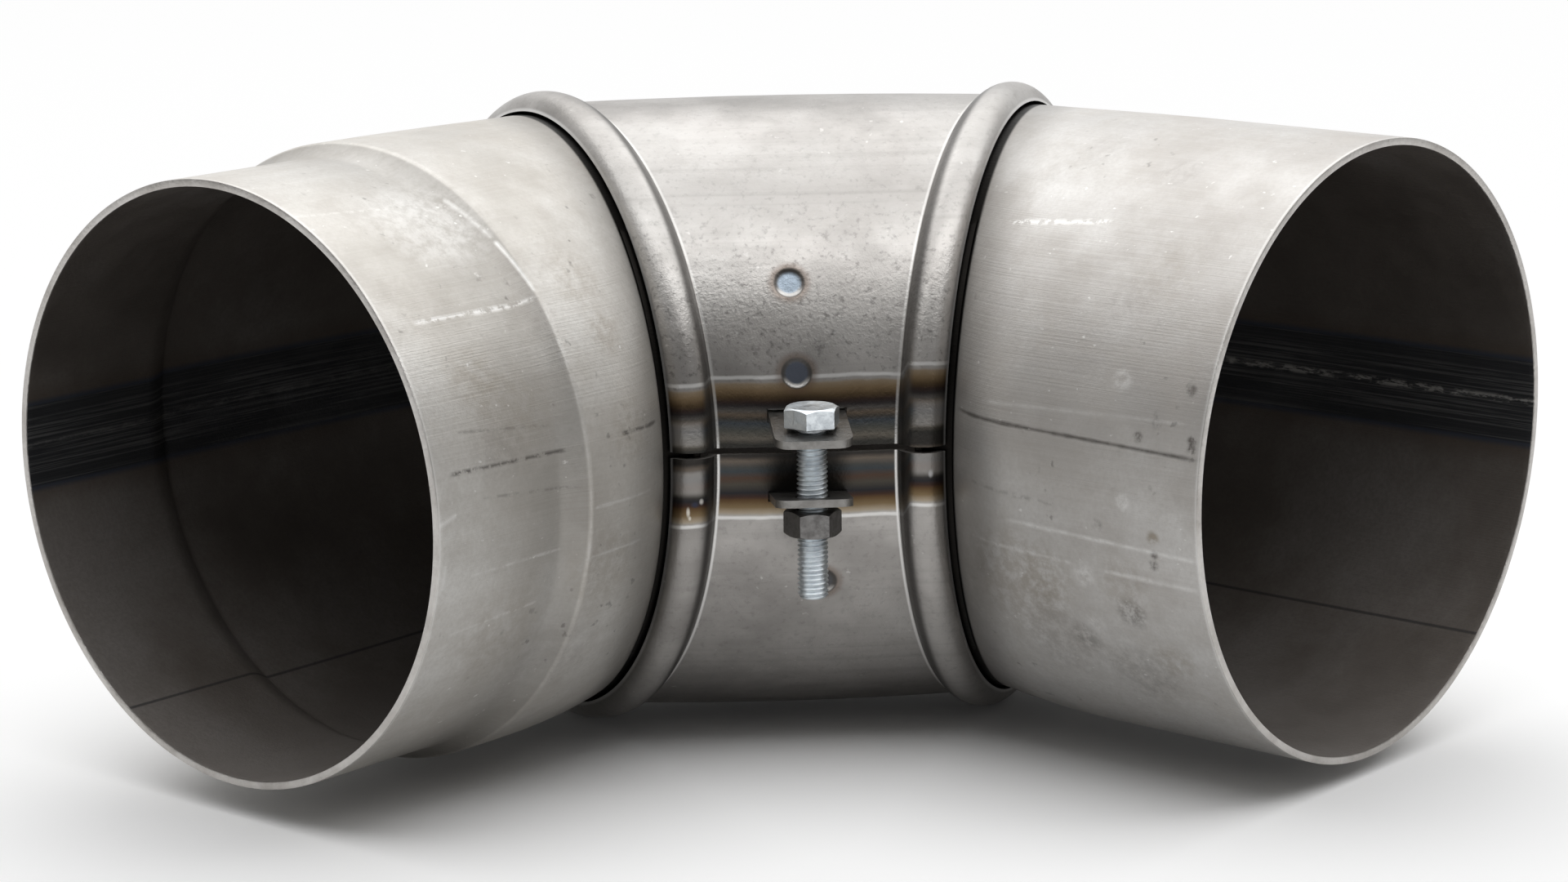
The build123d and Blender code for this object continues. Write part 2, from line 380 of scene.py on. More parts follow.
class Effects:
    """Shader node groups that several finishes share."""

    def __init__(self) -> None:
        """Builds every group once."""
        self.mottle = self._mottle()
        self.rolling = self._rolling()
        self.scratch = self._scratch()
        self.stain = self._stain()
        self.flecks = self._flecks()

    @staticmethod
    def _mottle() -> Group:
        """Cloudy blotches and fine speckle of raw sheet."""
        g, start, end = new_group("sheet_mottle", ["Place"], [], ["Clouds", "Blotches", "Speckle"])
        place = start.outputs["Place"]
        g.feed(end.inputs["Clouds"], g.between(g.noise(place, 14.0, 5.0, 0.6), 0.3, 0.7))
        g.feed(end.inputs["Blotches"], g.between(g.noise(place, 52.0, 7.0, 0.68), 0.36, 0.72))
        g.feed(end.inputs["Speckle"], g.between(g.noise(place, 900.0, 3.0, 0.7), 0.3, 0.75))
        return g.tree

    @staticmethod
    def _rolling() -> Group:
        """Fine and broad lines that rolling leaves along a sheet."""
        g, start, end = new_group("rolling_lines", ["Sheet"], [], ["Fine", "Broad"])
        sheet = start.outputs["Sheet"]
        fine = g.noise(g.scaled(sheet, (1.6, 0.018, 1.0)), 1.0, 4.0, 0.65)
        broad = g.noise(g.scaled(sheet, (0.16, 0.006, 1.0)), 1.0, 3.0, 0.6)
        g.feed(end.inputs["Fine"], g.between(fine, 0.3, 0.7))
        g.feed(end.inputs["Broad"], g.between(broad, 0.32, 0.68))
        return g.tree

    @staticmethod
    def _scratch() -> Group:
        """One scratch between two points of the sheet, in mm, whole or broken."""
        g, start, end = new_group("scratch", ["Sheet", "From", "To"], ["Width", "Broken"], ["Mask"])
        sheet, first, last, width, broken = start.outputs[:5]
        run, reach = g.offset(last, first), g.offset(sheet, first)
        share = g.math("DIVIDE", g.dot(reach, run), g.dot(run, run), 0.0, True)
        wander = g.times(g.minus(g.noise(sheet, 0.12, 2.0), 0.5), 0.9)
        gap = g.size(g.plus(g.past_line(reach, run, share), wander))
        inside = g.left_of_one(g.math("DIVIDE", gap, width))
        ends = g.times(g.between(share, 0.0, 0.08), g.between(share, 1.0, 0.92))
        gone = g.times(g.between(g.noise(sheet, 0.32, 3.0, 0.7), 0.56, 0.42), broken)
        g.feed(end.inputs["Mask"], g.times(inside, g.times(ends, g.left_of_one(gone))))
        return g.tree

    @staticmethod
    def _stain() -> Group:
        """One smudge with a ragged edge about a point of the sheet, in mm."""
        g, start, end = new_group("stain", ["Sheet", "Centre"], ["Radius"], ["Mask"])
        sheet, centre, radius = start.outputs[:3]
        near = g.left_of_one(g.math("DIVIDE", g.length(g.offset(sheet, centre)), radius))
        ragged = g.between(g.noise(sheet, 0.28, 6.0, 0.72), 0.36, 0.62)
        g.feed(end.inputs["Mask"], g.times(g.between(near, 0.0, 0.7), ragged))
        return g.tree

    @staticmethod
    def _flecks() -> Group:
        """Scattered dark pocks and pale flecks of a handled sheet."""
        g, start, end = new_group("flecks", ["Place"], [], ["Dark", "Pale"])
        place = start.outputs["Place"]
        patches = g.between(g.noise(place, 26.0, 3.0), 0.46, 0.66)
        dark = g.between(g.noise(place, 330.0, 2.0, 0.5), 0.66, 0.76)
        pale = g.between(g.noise(g.scaled(place, (1.0, 1.0, 1.4)), 410.0, 2.0, 0.5), 0.70, 0.78)
        g.feed(end.inputs["Dark"], g.times(dark, patches))
        g.feed(end.inputs["Pale"], g.times(pale, g.minus(1.0, patches)))
        return g.tree


class Finish:
    """A material under construction, with its shader and its coordinates."""

    def __init__(self, name: str, metallic: float) -> None:
        """Starts an empty metal material.

        Args:
            name: Name of the material.
            metallic: Share of metal in the shader.
        """
        self.material = bpy.data.materials.new(name)
        self.material.use_nodes = True
        self.graph = Graph(self.material.node_tree)
        self.shader = self.material.node_tree.nodes["Principled BSDF"]
        self.shader.inputs["Metallic"].default_value = metallic
        self.place = self.graph.add("ShaderNodeTexCoord").outputs["Object"]

    def sheet(self) -> Socket:
        """Place on the unrolled sheet, in mm: round the pipe, then along it."""
        node = self.graph.add("ShaderNodeUVMap", uv_map="sheet")
        return self.graph.in_mm(node.outputs[0])

    def paint(self, colour: Socket, roughness: Socket, height: Socket, bump: float) -> Material:
        """Connects the shader.

        Args:
            colour: Base colour.
            roughness: Roughness.
            height: Height of the surface relief, in mm.
            bump: Strength of the relief.

        Returns:
            The finished material.
        """
        g = self.graph
        g.feed(self.shader.inputs["Base Color"], colour)
        g.feed(self.shader.inputs["Roughness"], roughness)
        node = g.add("ShaderNodeBump")
        node.inputs["Strength"].default_value = bump
        node.inputs["Distance"].default_value = MM
        g.feed(node.inputs["Height"], height)
        g.feed(self.shader.inputs["Normal"], node.outputs[0])
        return self.material


@dataclass(frozen=True)
class Mark:
    """A scratch or line on a sheet, in mm round and along it.

    A dark mark is a stain in a groove and a bright one is fresh metal.
    """

    start: Pair
    end: Pair
    width: float
    bright: bool
    strength: float
    broken: float = 1.0


@dataclass(frozen=True)
class Smudge:
    """A dark or pale patch on a sheet, in mm round and along it."""

    centre: Pair
    radius: float
    colour: Colour
    strength: float


def smudges(*rows: tuple[float, float, float, Colour, float]) -> tuple[Smudge, ...]:
    """Smudges from rows of two places, radius, colour and strength."""
    return tuple(Smudge((turn, along), *rest) for turn, along, *rest in rows)


@dataclass(frozen=True)
class RawSheet:
    """Outside of raw cold rolled sheet: blotchy warm grey with rolling lines and marks, and painted
    shade over the spigot, toward the neck and in the gap at the bead.
    """

    name: str
    marks: tuple[Mark, ...]
    smudges: tuple[Smudge, ...]
    rim_along: float
    centre: Vector
    axis: Vector
    shade_from: float = 200.0
    shade_to: float = 201.0
    dull: float = 0.0
    dark: Colour = (0.46, 0.435, 0.41)
    plain: Colour = (0.60, 0.58, 0.555)
    pale: Colour = (0.70, 0.69, 0.67)
    brown: Colour = (0.42, 0.38, 0.335)
    bright: Colour = (0.88, 0.87, 0.85)
    # Dark stain for grooves, marks and pocks, also used as painted shade.
    grime_and_shade: Colour = (0.12, 0.11, 0.10)
    # Near black painted shade for the gap at the neck.
    soot_and_shade: Colour = (0.012, 0.011, 0.010)
    rough: float = 0.44
    metallic: float = 0.5
    neck_end: float = 8.9

    def build(self, effects: Effects) -> Material:
        """Builds the material.

        Args:
            effects: Shared shader groups.

        Returns:
            The material.
        """
        finish = Finish(self.name, self.metallic)
        g = finish.graph
        sheet = finish.sheet()
        _, along, _ = g.split(sheet)
        mottle = g.place(effects.mottle, Place=finish.place).outputs
        lines = g.place(effects.rolling, Sheet=sheet).outputs
        flecks = g.place(effects.flecks, Place=finish.place).outputs
        colour = g.ramp(mottle["Clouds"], ((0.0, self.dark), (0.45, self.plain), (1.0, self.pale)))
        colour = g.mix(g.times(mottle["Blotches"], 0.42), colour, self.brown)
        colour = g.mix(g.times(lines["Fine"], 0.22), colour, self.pale)
        colour = g.mix(g.times(lines["Broad"], 0.20), colour, self.dark)
        colour = g.mix(g.times(mottle["Speckle"], 0.34), colour, self.dark)
        # Painted shade: darker over the spigot, fading out toward the rim.
        starts = g.between(along, self.shade_from, self.shade_from + 0.8)
        spigot_shade = g.times(starts, g.between(along, self.shade_to, self.shade_from))
        colour = g.mix(g.times(spigot_shade, self.dull), colour, self.grime_and_shade)
        for smudge in self.smudges:
            centre = (*smudge.centre, 0.0)
            node = g.place(effects.stain, Sheet=sheet, Centre=centre, Radius=smudge.radius)
            colour = g.mix(g.times(node.outputs[0], smudge.strength), colour, smudge.colour)
        groove: Socket = lines["Fine"]
        for mark in self.marks:
            node = g.place(
                effects.scratch, Sheet=sheet, From=(*mark.start, 0.0), To=(*mark.end, 0.0),
                Width=mark.width, Broken=mark.broken,
            )
            mask = g.times(node.outputs[0], mark.strength)
            colour = g.mix(mask, colour, self.bright if mark.bright else self.grime_and_shade)
            groove = g.minus(groove, g.times(mask, 2.0))
        colour = g.mix(g.times(flecks["Dark"], 0.5), colour, self.grime_and_shade)
        colour = g.mix(g.times(flecks["Pale"], 0.7), colour, self.bright)
        off = g.offset(finish.place, tuple(self.centre))
        swivel = g.times(g.dot(off, tuple(self.axis)), PER_METRE)
        # Painted shade: the sheet darkens toward the neck, where it turns into the bead.
        colour = g.mix(g.between(swivel, 26.0, self.neck_end, 0.0, 0.48), colour, self.grime_and_shade)
        # Painted shade: a near black band where the neck goes into the gap under the bead, made
        # fully metallic.
        gap_shade = g.between(swivel, self.neck_end + 0.7, self.neck_end - 0.4)
        colour = g.mix(gap_shade, colour, self.soot_and_shade)
        g.feed(finish.shader.inputs["Metallic"], g.between(gap_shade, 0.0, 1.0, self.metallic, 1.0))
        rim = g.between(along, self.rim_along - 1.2, self.rim_along - 0.2, 0.0, 0.6)
        colour = g.mix(rim, colour, self.bright)
        roughness = g.plus(self.rough - 0.06, g.times(mottle["Blotches"], 0.16))
        height = g.plus(g.times(groove, 0.05), g.times(mottle["Speckle"], 0.04))
        return finish.paint(colour, roughness, height, 0.5)


@dataclass(frozen=True)
class Bore:
    """Inside of a leg: dark oxide with a blue black weld seam along the heel, and a painted pool of
    light on its lower inside.
    """

    name: str
    streak: float
    line_turn: float
    half_turn: float = 257.6
    scale: Colour = (0.145, 0.127, 0.112)
    # Pale dusty tone, also used as painted light on the lower inside.
    dust_and_light: Colour = (0.22, 0.203, 0.19)
    soot_and_shade: Colour = (0.095, 0.082, 0.072)
    seam: Colour = (0.022, 0.023, 0.026)
    ash: Colour = (0.11, 0.11, 0.11)
    blue: Colour = (0.035, 0.045, 0.070)
    brown: Colour = (0.075, 0.055, 0.040)
    pale: Colour = (0.42, 0.41, 0.39)
    half_width: float = 11.9

    def build(self, effects: Effects) -> Material:
        """Builds the material.

        Args:
            effects: Shared shader groups.

        Returns:
            The material.
        """
        finish = Finish(self.name, 0.25)
        g = finish.graph
        sheet = finish.sheet()
        arc, _, _ = g.split(sheet)
        mottle = g.place(effects.mottle, Place=finish.place).outputs
        lines = g.place(effects.rolling, Sheet=sheet).outputs
        colour = g.ramp(mottle["Clouds"], ((0.0, self.soot_and_shade), (0.5, self.scale), (1.0, self.dust_and_light)))
        colour = g.mix(g.times(mottle["Blotches"], 0.5), colour, self.scale)
        colour = g.mix(g.times(mottle["Speckle"], 0.35), colour, self.soot_and_shade)
        # Painted light: the lower inside is paler, where light from the open end falls on it.
        low = g.between(g.plus(arc, 0.3 * self.half_turn), 70.0, 0.0)
        floor = g.times(low, g.between(g.plus(arc, 0.72 * self.half_turn), 0.0, 70.0))
        colour = g.mix(g.times(floor, 0.55), colour, self.dust_and_light)
        gap = g.size(g.minus(self.half_turn, g.size(arc)))
        wide = self.half_width
        colour = g.mix(g.between(gap, wide + 9.0, wide, 0.0, 0.6), colour, self.brown)
        colour = g.mix(g.between(gap, wide + 2.2, wide, 0.0, 0.9), colour, self.blue)
        streaks = g.mix(g.between(lines["Fine"], 0.35, 0.9), self.seam, self.ash)
        colour = g.mix(g.between(gap, wide + 0.3, wide - 0.6), colour, streaks)
        edge = g.between(g.size(g.minus(gap, wide - 2.4)), 2.2, 0.6, 0.0, 0.85)
        colour = g.mix(edge, colour, self.seam)
        broken = g.between(g.noise(g.scaled(sheet, (0.5, 0.16, 1.0)), 1.0, 3.0, 0.7), 0.46, 0.60)
        bead = g.times(g.between(gap, 1.5, 0.3, 0.0, self.streak), broken)
        colour = g.mix(bead, colour, self.pale)
        line = g.between(g.size(g.minus(arc, self.line_turn)), 0.7, 0.2, 0.0, 0.7)
        colour = g.mix(line, colour, self.seam)
        roughness = g.plus(0.5, g.times(mottle["Blotches"], 0.2))
        height = g.plus(g.times(lines["Fine"], 0.05), g.times(mottle["Speckle"], 0.06))
        return finish.paint(colour, roughness, height, 0.5)


@dataclass(frozen=True)
class CutEdge:
    """Sheared edge of a sheet: bright metal with fine tear marks."""

    name: str = "cut_edge"
    bright: Colour = (0.60, 0.58, 0.555)
    dull: Colour = (0.36, 0.335, 0.31)

    def build(self, effects: Effects) -> Material:
        """Builds the material.

        Args:
            effects: Shared shader groups.

        Returns:
            The material.
        """
        finish = Finish(self.name, 0.9)
        g = finish.graph
        mottle = g.place(effects.mottle, Place=finish.place).outputs
        colour = g.mix(g.times(mottle["Blotches"], 0.75), self.bright, self.dull)
        roughness = g.plus(0.34, g.times(mottle["Speckle"], 0.14))
        return finish.paint(colour, roughness, mottle["Speckle"], 0.15)


@dataclass(frozen=True)
class SpotWeld:
    """Place of a spot weld on the band and the colour of its middle."""

    place: Vector
    colour: Colour


@dataclass(frozen=True)
class TintedBand:
    """Outside of the clamp band: raw sheet with heat tint at the split and at the spot welds, with
    painted highlights and painted shade at the beads, welds and lugs.

    The tint runs in bands parallel to the split, each given by its height over the split in mm.
    """

    name: str
    split: Vector
    welds: tuple[SpotWeld, ...]
    weld_radius: float = 4.1
    dark: Colour = (0.30, 0.285, 0.27)
    plain: Colour = (0.47, 0.45, 0.43)
    pale: Colour = (0.57, 0.555, 0.535)
    bright: Colour = (0.85, 0.84, 0.82)
    grime_and_shade: Colour = (0.075, 0.070, 0.065)
    # Dark stain for pepper and weld rings, also used as painted shade on the beads' flanks.
    brown: Colour = (0.16, 0.10, 0.065)
    # Near black painted shadow between the lugs.
    soot_and_shade: Colour = (0.012, 0.011, 0.010)
    spatter: tuple[tuple[Triple, Pair, Colour], ...] = (
        ((-31.4, 0.0, -15.0), (0.6, 1.7), (0.72, 0.68, 0.60)),
        ((-31.0, 0.0, -16.6), (0.5, 0.8), (0.72, 0.68, 0.60)),
        ((-29.6, 0.0, -12.9), (1.3, 1.0), (0.03, 0.035, 0.06)),
        ((-27.9, 0.0, -12.2), (0.7, 1.0), (0.62, 0.60, 0.57)),
        ((31.6, 0.0, -6.2), (0.8, 1.3), (0.50, 0.50, 0.50)),
    )
    tint_reach: float = 24.0
    tints: tuple[tuple[float, Colour], ...] = (
        (-17.9, (0.44, 0.41, 0.37)), (-16.6, (0.36, 0.3, 0.22)),
        (-15.2, (0.194, 0.137, 0.072)), (-13.4, (0.101, 0.0576, 0.0238)),
        (-12.4, (0.0432, 0.0216, 0.0144)), (-11.2, (0.0173, 0.0173, 0.0202)),
        (-9.0, (0.0612, 0.054, 0.0432)), (-7.3, (0.072, 0.0432, 0.0302)),
        (-5.4, (0.0446, 0.0533, 0.059)), (-4.2, (0.0612, 0.0612, 0.0576)),
        (-2.6, (0.137, 0.112, 0.09)), (-1.4, (0.0324, 0.0288, 0.0259)),
        (1.8, (0.0324, 0.031, 0.0274)), (3.4, (0.122, 0.108, 0.0886)),
        (5.4, (0.072, 0.072, 0.0634)), (7.3, (0.0504, 0.059, 0.0677)),
        (8.4, (0.0576, 0.0504, 0.0418)), (9.4, (0.122, 0.0936, 0.0684)),
        (10.5, (0.0936, 0.0864, 0.0792)), (11.6, (0.0302, 0.0259, 0.0259)),
        (12.6, (0.0346, 0.0209, 0.0166)), (14.0, (0.0936, 0.0612, 0.0302)),
        (15.7, (0.23, 0.16, 0.09)), (17.2, (0.32, 0.25, 0.17)),
        (18.3, (0.44, 0.41, 0.37)),
    )

    def tint(self, g: Graph, height: Socket) -> tuple[Socket, Socket]:
        """Colours of the heat tint by height over the split.

        Args:
            g: Graph of the material.
            height: Height over the split, in mm.

        Returns:
            The tint colour, and how much of it shows.
        """
        reach = self.tint_reach
        level = g.math("DIVIDE", g.plus(height, reach), 2 * reach)
        colour = g.ramp(level, tuple(((h + reach) / (2 * reach), c) for h, c in self.tints))
        low, high = self.tints[0][0], self.tints[-1][0]
        shown = g.times(g.between(height, high, high - 1.2), g.between(height, low, low + 1.2))
        return colour, shown

    def weld(self, g: Graph, colour: Socket, gap: Socket, drop: Socket, centre: Colour) -> Socket:
        """Paints one spot weld: brown halo, dark ring, blue grey centre and a painted highlight on
        its lower lip.

        Args:
            g: Graph of the material.
            colour: Colour so far.
            gap: Distance from the weld's centre, in mm.
            drop: Depth below the weld's centre, in mm.
            centre: Colour of the weld's middle.

        Returns:
            The new colour.
        """
        r = self.weld_radius
        colour = g.mix(g.between(gap, r * 1.6, r, 0.0, 0.55), colour, self.brown)
        colour = g.mix(g.between(gap, r * 1.08, r * 0.9, 0.0, 0.95), colour, self.grime_and_shade)
        colour = g.mix(g.between(gap, r * 0.86, r * 0.6, 0.0, 0.9), colour, centre)
        # Painted highlight: the lower lip of the weld's dimple is paler, as if it catches light
        # from above.
        lip = g.times(g.between(gap, r * 0.58, r * 0.76), g.between(gap, r * 0.96, r * 0.86))
        lip = g.times(lip, g.between(drop, r * 0.15, r * 0.65, 0.0, 0.85))
        return g.mix(lip, colour, self.pale)

    def build(self, effects: Effects) -> Material:
        """Builds the material.

        Args:
            effects: Shared shader groups.

        Returns:
            The material.
        """
        finish = Finish(self.name, 0.75)
        g = finish.graph
        base_gap = g.split(finish.sheet())[1]
        mottle = g.place(effects.mottle, Place=finish.place).outputs
        flecks = g.place(effects.flecks, Place=finish.place).outputs
        off = g.in_mm(g.offset(finish.place, tuple(self.split)))
        across, depth, height = g.split(off)
        colour = g.ramp(mottle["Clouds"], ((0.0, self.dark), (0.45, self.plain), (1.0, self.pale)))
        colour = g.mix(g.times(mottle["Blotches"], 0.25), colour, self.dark)
        pepper = g.between(g.noise(finish.place, 620.0, 3.0, 0.6), 0.52, 0.74, 0.0, 0.55)
        upper = g.times(g.between(height, 14.0, 22.0, 0.35), g.between(height, 70.0, 35.0, 0.3))
        colour = g.mix(g.times(pepper, upper), colour, self.grime_and_shade)
        rings = g.noise(g.scaled(off, (0.004, 0.1, 0.55)), 1.0, 4.0, 0.6)
        colour = g.mix(g.between(rings, 0.45, 0.75, 0.0, 0.30), colour, self.dark)
        colour = g.mix(g.times(flecks["Pale"], 0.4), colour, self.bright)
        throat = g.between(depth, -30.0, -50.0)
        ripple = g.times(g.minus(g.noise(finish.place, 70.0, 3.0), 0.5), 1.6)
        lift = g.between(across, 24.6, 26.6, 0.0, 3.2)
        lift = g.plus(lift, g.between(across, -24.6, -26.6, 0.0, -0.8))
        level = g.minus(g.plus(height, ripple), lift)
        tint, shown = self.tint(g, level)
        reach = g.size(level)
        # Painted highlight: the tint is paled toward plain steel on the bead's crest, where light
        # falls.
        painted_crest_light = g.times(g.between(reach, 2.6, 4.0), g.between(reach, 10.5, 8.5))
        painted_crest_light = g.times(painted_crest_light, g.between(base_gap, -5.0, -8.0, 0.0, 0.5))
        tint = g.mix(painted_crest_light, tint, self.plain)
        colour = g.mix(g.times(shown, throat), colour, tint)
        for line_height in (18.9, -18.1):
            gap = g.size(g.minus(level, line_height))
            line = g.times(g.between(gap, 0.75, 0.15, 0.0, 0.8), throat)
            colour = g.mix(line, colour, self.bright)
        for centre, size, paint in self.spatter:
            spot = g.scaled(g.offset(off, centre), (1 / size[0], 0.0, 1 / size[1]))
            near = g.between(g.length(spot), 1.1, 0.2, 0.0, 0.85)
            colour = g.mix(g.times(near, throat), colour, paint)
        relief: Socket = g.times(mottle["Speckle"], 0.05)
        for weld in self.welds:
            gap = g.times(g.length(g.offset(finish.place, tuple(weld.place))), PER_METRE)
            drop = g.times(g.minus(weld.place.z, g.split(finish.place)[2]), PER_METRE)
            colour = self.weld(g, colour, gap, drop, weld.colour)
        # Painted shade: the bead's flank next to its base is darkened.
        flank_shade = g.times(g.between(base_gap, -0.3, -0.9), g.between(base_gap, -6.4, -4.2))
        colour = g.mix(g.times(flank_shade, 0.80), colour, self.grime_and_shade)
        lip = g.between(base_gap, -15.0, -15.8, 0.0, 0.75)
        colour = g.mix(lip, colour, self.bright)
        # Painted highlight: a bright line along the crease at the bead's base, stronger below the
        # split.
        crease_light_strength = g.between(height, 6.0, -2.0, 0.45, 0.95)
        crease = g.times(g.between(g.size(base_gap), 0.8, 0.3), crease_light_strength)
        colour = g.mix(crease, colour, self.bright)
        # Painted shadow: near black below the split between the lugs, behind the bolt.
        middle = g.size(across)
        shade = g.times(g.between(middle, 13.0, 6.0), g.between(height, -13.0, -10.0))
        shade = g.times(shade, g.between(height, 0.0, -2.0, 0.0, 0.85))
        colour = g.mix(g.times(shade, throat), colour, self.soot_and_shade)
        roughness = g.plus(0.29, g.times(mottle["Blotches"], 0.12))
        return finish.paint(colour, roughness, relief, 0.7)


@dataclass(frozen=True)
class SmallSteel:
    """Finish of a small steel piece: plain or zinc plated, with handling wear."""

    name: str
    plain: Colour
    dull: Colour
    rough: float
    sheared: float = 0.0
    bright: Colour = (0.72, 0.70, 0.67)

    def build(self, effects: Effects) -> Material:
        """Builds the material.

        Args:
            effects: Shared shader groups.

        Returns:
            The material.
        """
        finish = Finish(self.name, 1.0)
        g = finish.graph
        mottle = g.place(effects.mottle, Place=finish.place).outputs
        facing = g.add("ShaderNodeTexCoord").outputs["Normal"]
        upright = g.size(g.split(facing)[2])
        fine = g.between(g.noise(finish.place, 420.0, 5.0, 0.65), 0.35, 0.7)
        colour = g.mix(g.times(fine, 0.6), self.plain, self.dull)
        colour = g.mix(g.times(mottle["Speckle"], 0.25), colour, self.dull)
        colour = g.mix(g.between(upright, 0.75, 0.45, 0.0, self.sheared), colour, self.bright)
        roughness = g.plus(self.rough, g.times(fine, 0.15))
        return finish.paint(colour, roughness, fine, 0.12)


@dataclass
class Strip:
    """One closed line of a wall's cross section, carried round as a row of points."""

    points: list[Vector]
    uv: list[Pair]
    wall: Wall


@dataclass
class Slot:
    """Opening through a wall, by the rows and columns of points at its four sides."""

    rows: tuple[int, int]
    columns: tuple[int, int]

    def takes(self, row: int, column: int) -> bool:
        """Tells whether the opening takes away the face after this row and column."""
        return self.rows[0] <= row < self.rows[1] and self.columns[0] <= column < self.columns[1]

    def sides(self, last: int) -> list[list[tuple[int, int]]]:
        """Faces that line the opening between the two sides of the wall.

        Args:
            last: Number of the last row of points, which lies behind the first one.

        Returns:
            The row and column of each face's corners.
        """
        (r0, r1), (c0, c1) = self.rows, self.columns
        edges = [((r0, k), (r0, k + 1)) for k in range(c0, c1)]
        edges += [((r1, k + 1), (r1, k)) for k in range(c0, c1)]
        edges += [((r + 1, c0), (r, c0)) for r in range(r0, r1)]
        edges += [((r, c1), (r + 1, c1)) for r in range(r0, r1)]
        return [[a, b, (last - b[0], b[1]), (last - a[0], a[1])] for a, b in edges]


def wall_mesh(
    name: str, strips: Sequence[Strip], closed: bool, caps: bool, slots: Sequence[Slot] = ()
) -> Thing:
    """Builds a sheet metal wall from rows of points that run round it.

    Args:
        name: Name of the object.
        strips: Rows in order round the wall's cross section, the last joining the first.
        closed: Whether each row joins its own end to its start.
        caps: Whether the two open ends of the rows are closed, for a wall with a split.
        slots: Openings through the wall.

    Returns:
        The mesh object.
    """
    count = len(strips[0].uv) - 1
    stride = count if closed else count + 1
    vertices = [p for strip in strips for p in strip.points[:stride]]
    faces: list[list[int]] = []
    corners: list[Pair] = []
    walls: list[int] = []
    rows = len(strips)

    def add(loop: Sequence[tuple[int, int]], wall: Wall) -> None:
        """Adds one face by the row and column of each corner."""
        faces.append([row * stride + k % stride for row, k in loop])
        corners.extend(strips[row].uv[k] for row, k in loop)
        walls.append(wall.value)

    for row in range(rows):
        there = (row + 1) % rows
        for k in range(count):
            if not any(slot.takes(min(row, rows - 2 - row), k) for slot in slots):
                add([(row, k), (row, k + 1), (there, k + 1), (there, k)], strips[row].wall)
    for k in (0, count) if caps else ():
        for row in range(rows // 2 - 1):
            back = rows - 1 - row
            loop = [(row, k), (row + 1, k), (back - 1, k), (back, k)]
            add(loop[::-1] if k else loop, Wall.EDGE)
    for slot in slots:
        for loop in slot.sides(rows - 1):
            add(loop, Wall.EDGE)
    used = sorted({i for face in faces for i in face})
    number = {old: new for new, old in enumerate(used)}
    mesh = bpy.data.meshes.new(name)
    mesh.from_pydata([vertices[i] for i in used], [], [[number[i] for i in face] for face in faces])
    layer = mesh.uv_layers.new(name="sheet")
    layer.data.foreach_set("uv", [c for corner in corners for c in corner])
    mesh.polygons.foreach_set("material_index", walls)
    mesh.validate()
    shape = bmesh.new()
    shape.from_mesh(mesh)
    bmesh.ops.recalc_face_normals(shape, faces=shape.faces)
    shape.to_mesh(mesh)
    shape.free()
    return finish_mesh(name, mesh, WALL_SHARP_DEG)


def finish_mesh(name: str, mesh: Mesh, sharp_deg: float) -> Thing:
    """Shades a mesh smooth up to an edge angle and puts it in the scene.

    Args:
        name: Name of the object.
        mesh: The mesh.
        sharp_deg: Edges that bend more than this stay sharp.

    Returns:
        The object.
    """
    mesh.shade_smooth()
    mesh.set_sharp_from_angle(angle=math.radians(sharp_deg))
    thing = bpy.data.objects.new(name, mesh)
    bpy.context.scene.collection.objects.link(thing)
    return thing


@dataclass
class Swivel:
    """One swivel joint: its centre and the directions that its circles are drawn in."""

    centre: Vector
    axis: Vector
    throat: Vector

    def ring(self, along: float, radius: float) -> Circle:
        """Circle about the swivel axis, as a function of the angle up from the throat."""
        middle = self.centre + self.axis * along
        return lambda turn: middle + radius * (
            math.cos(turn) * self.throat + Vector((0, 0, math.sin(turn)))
        )


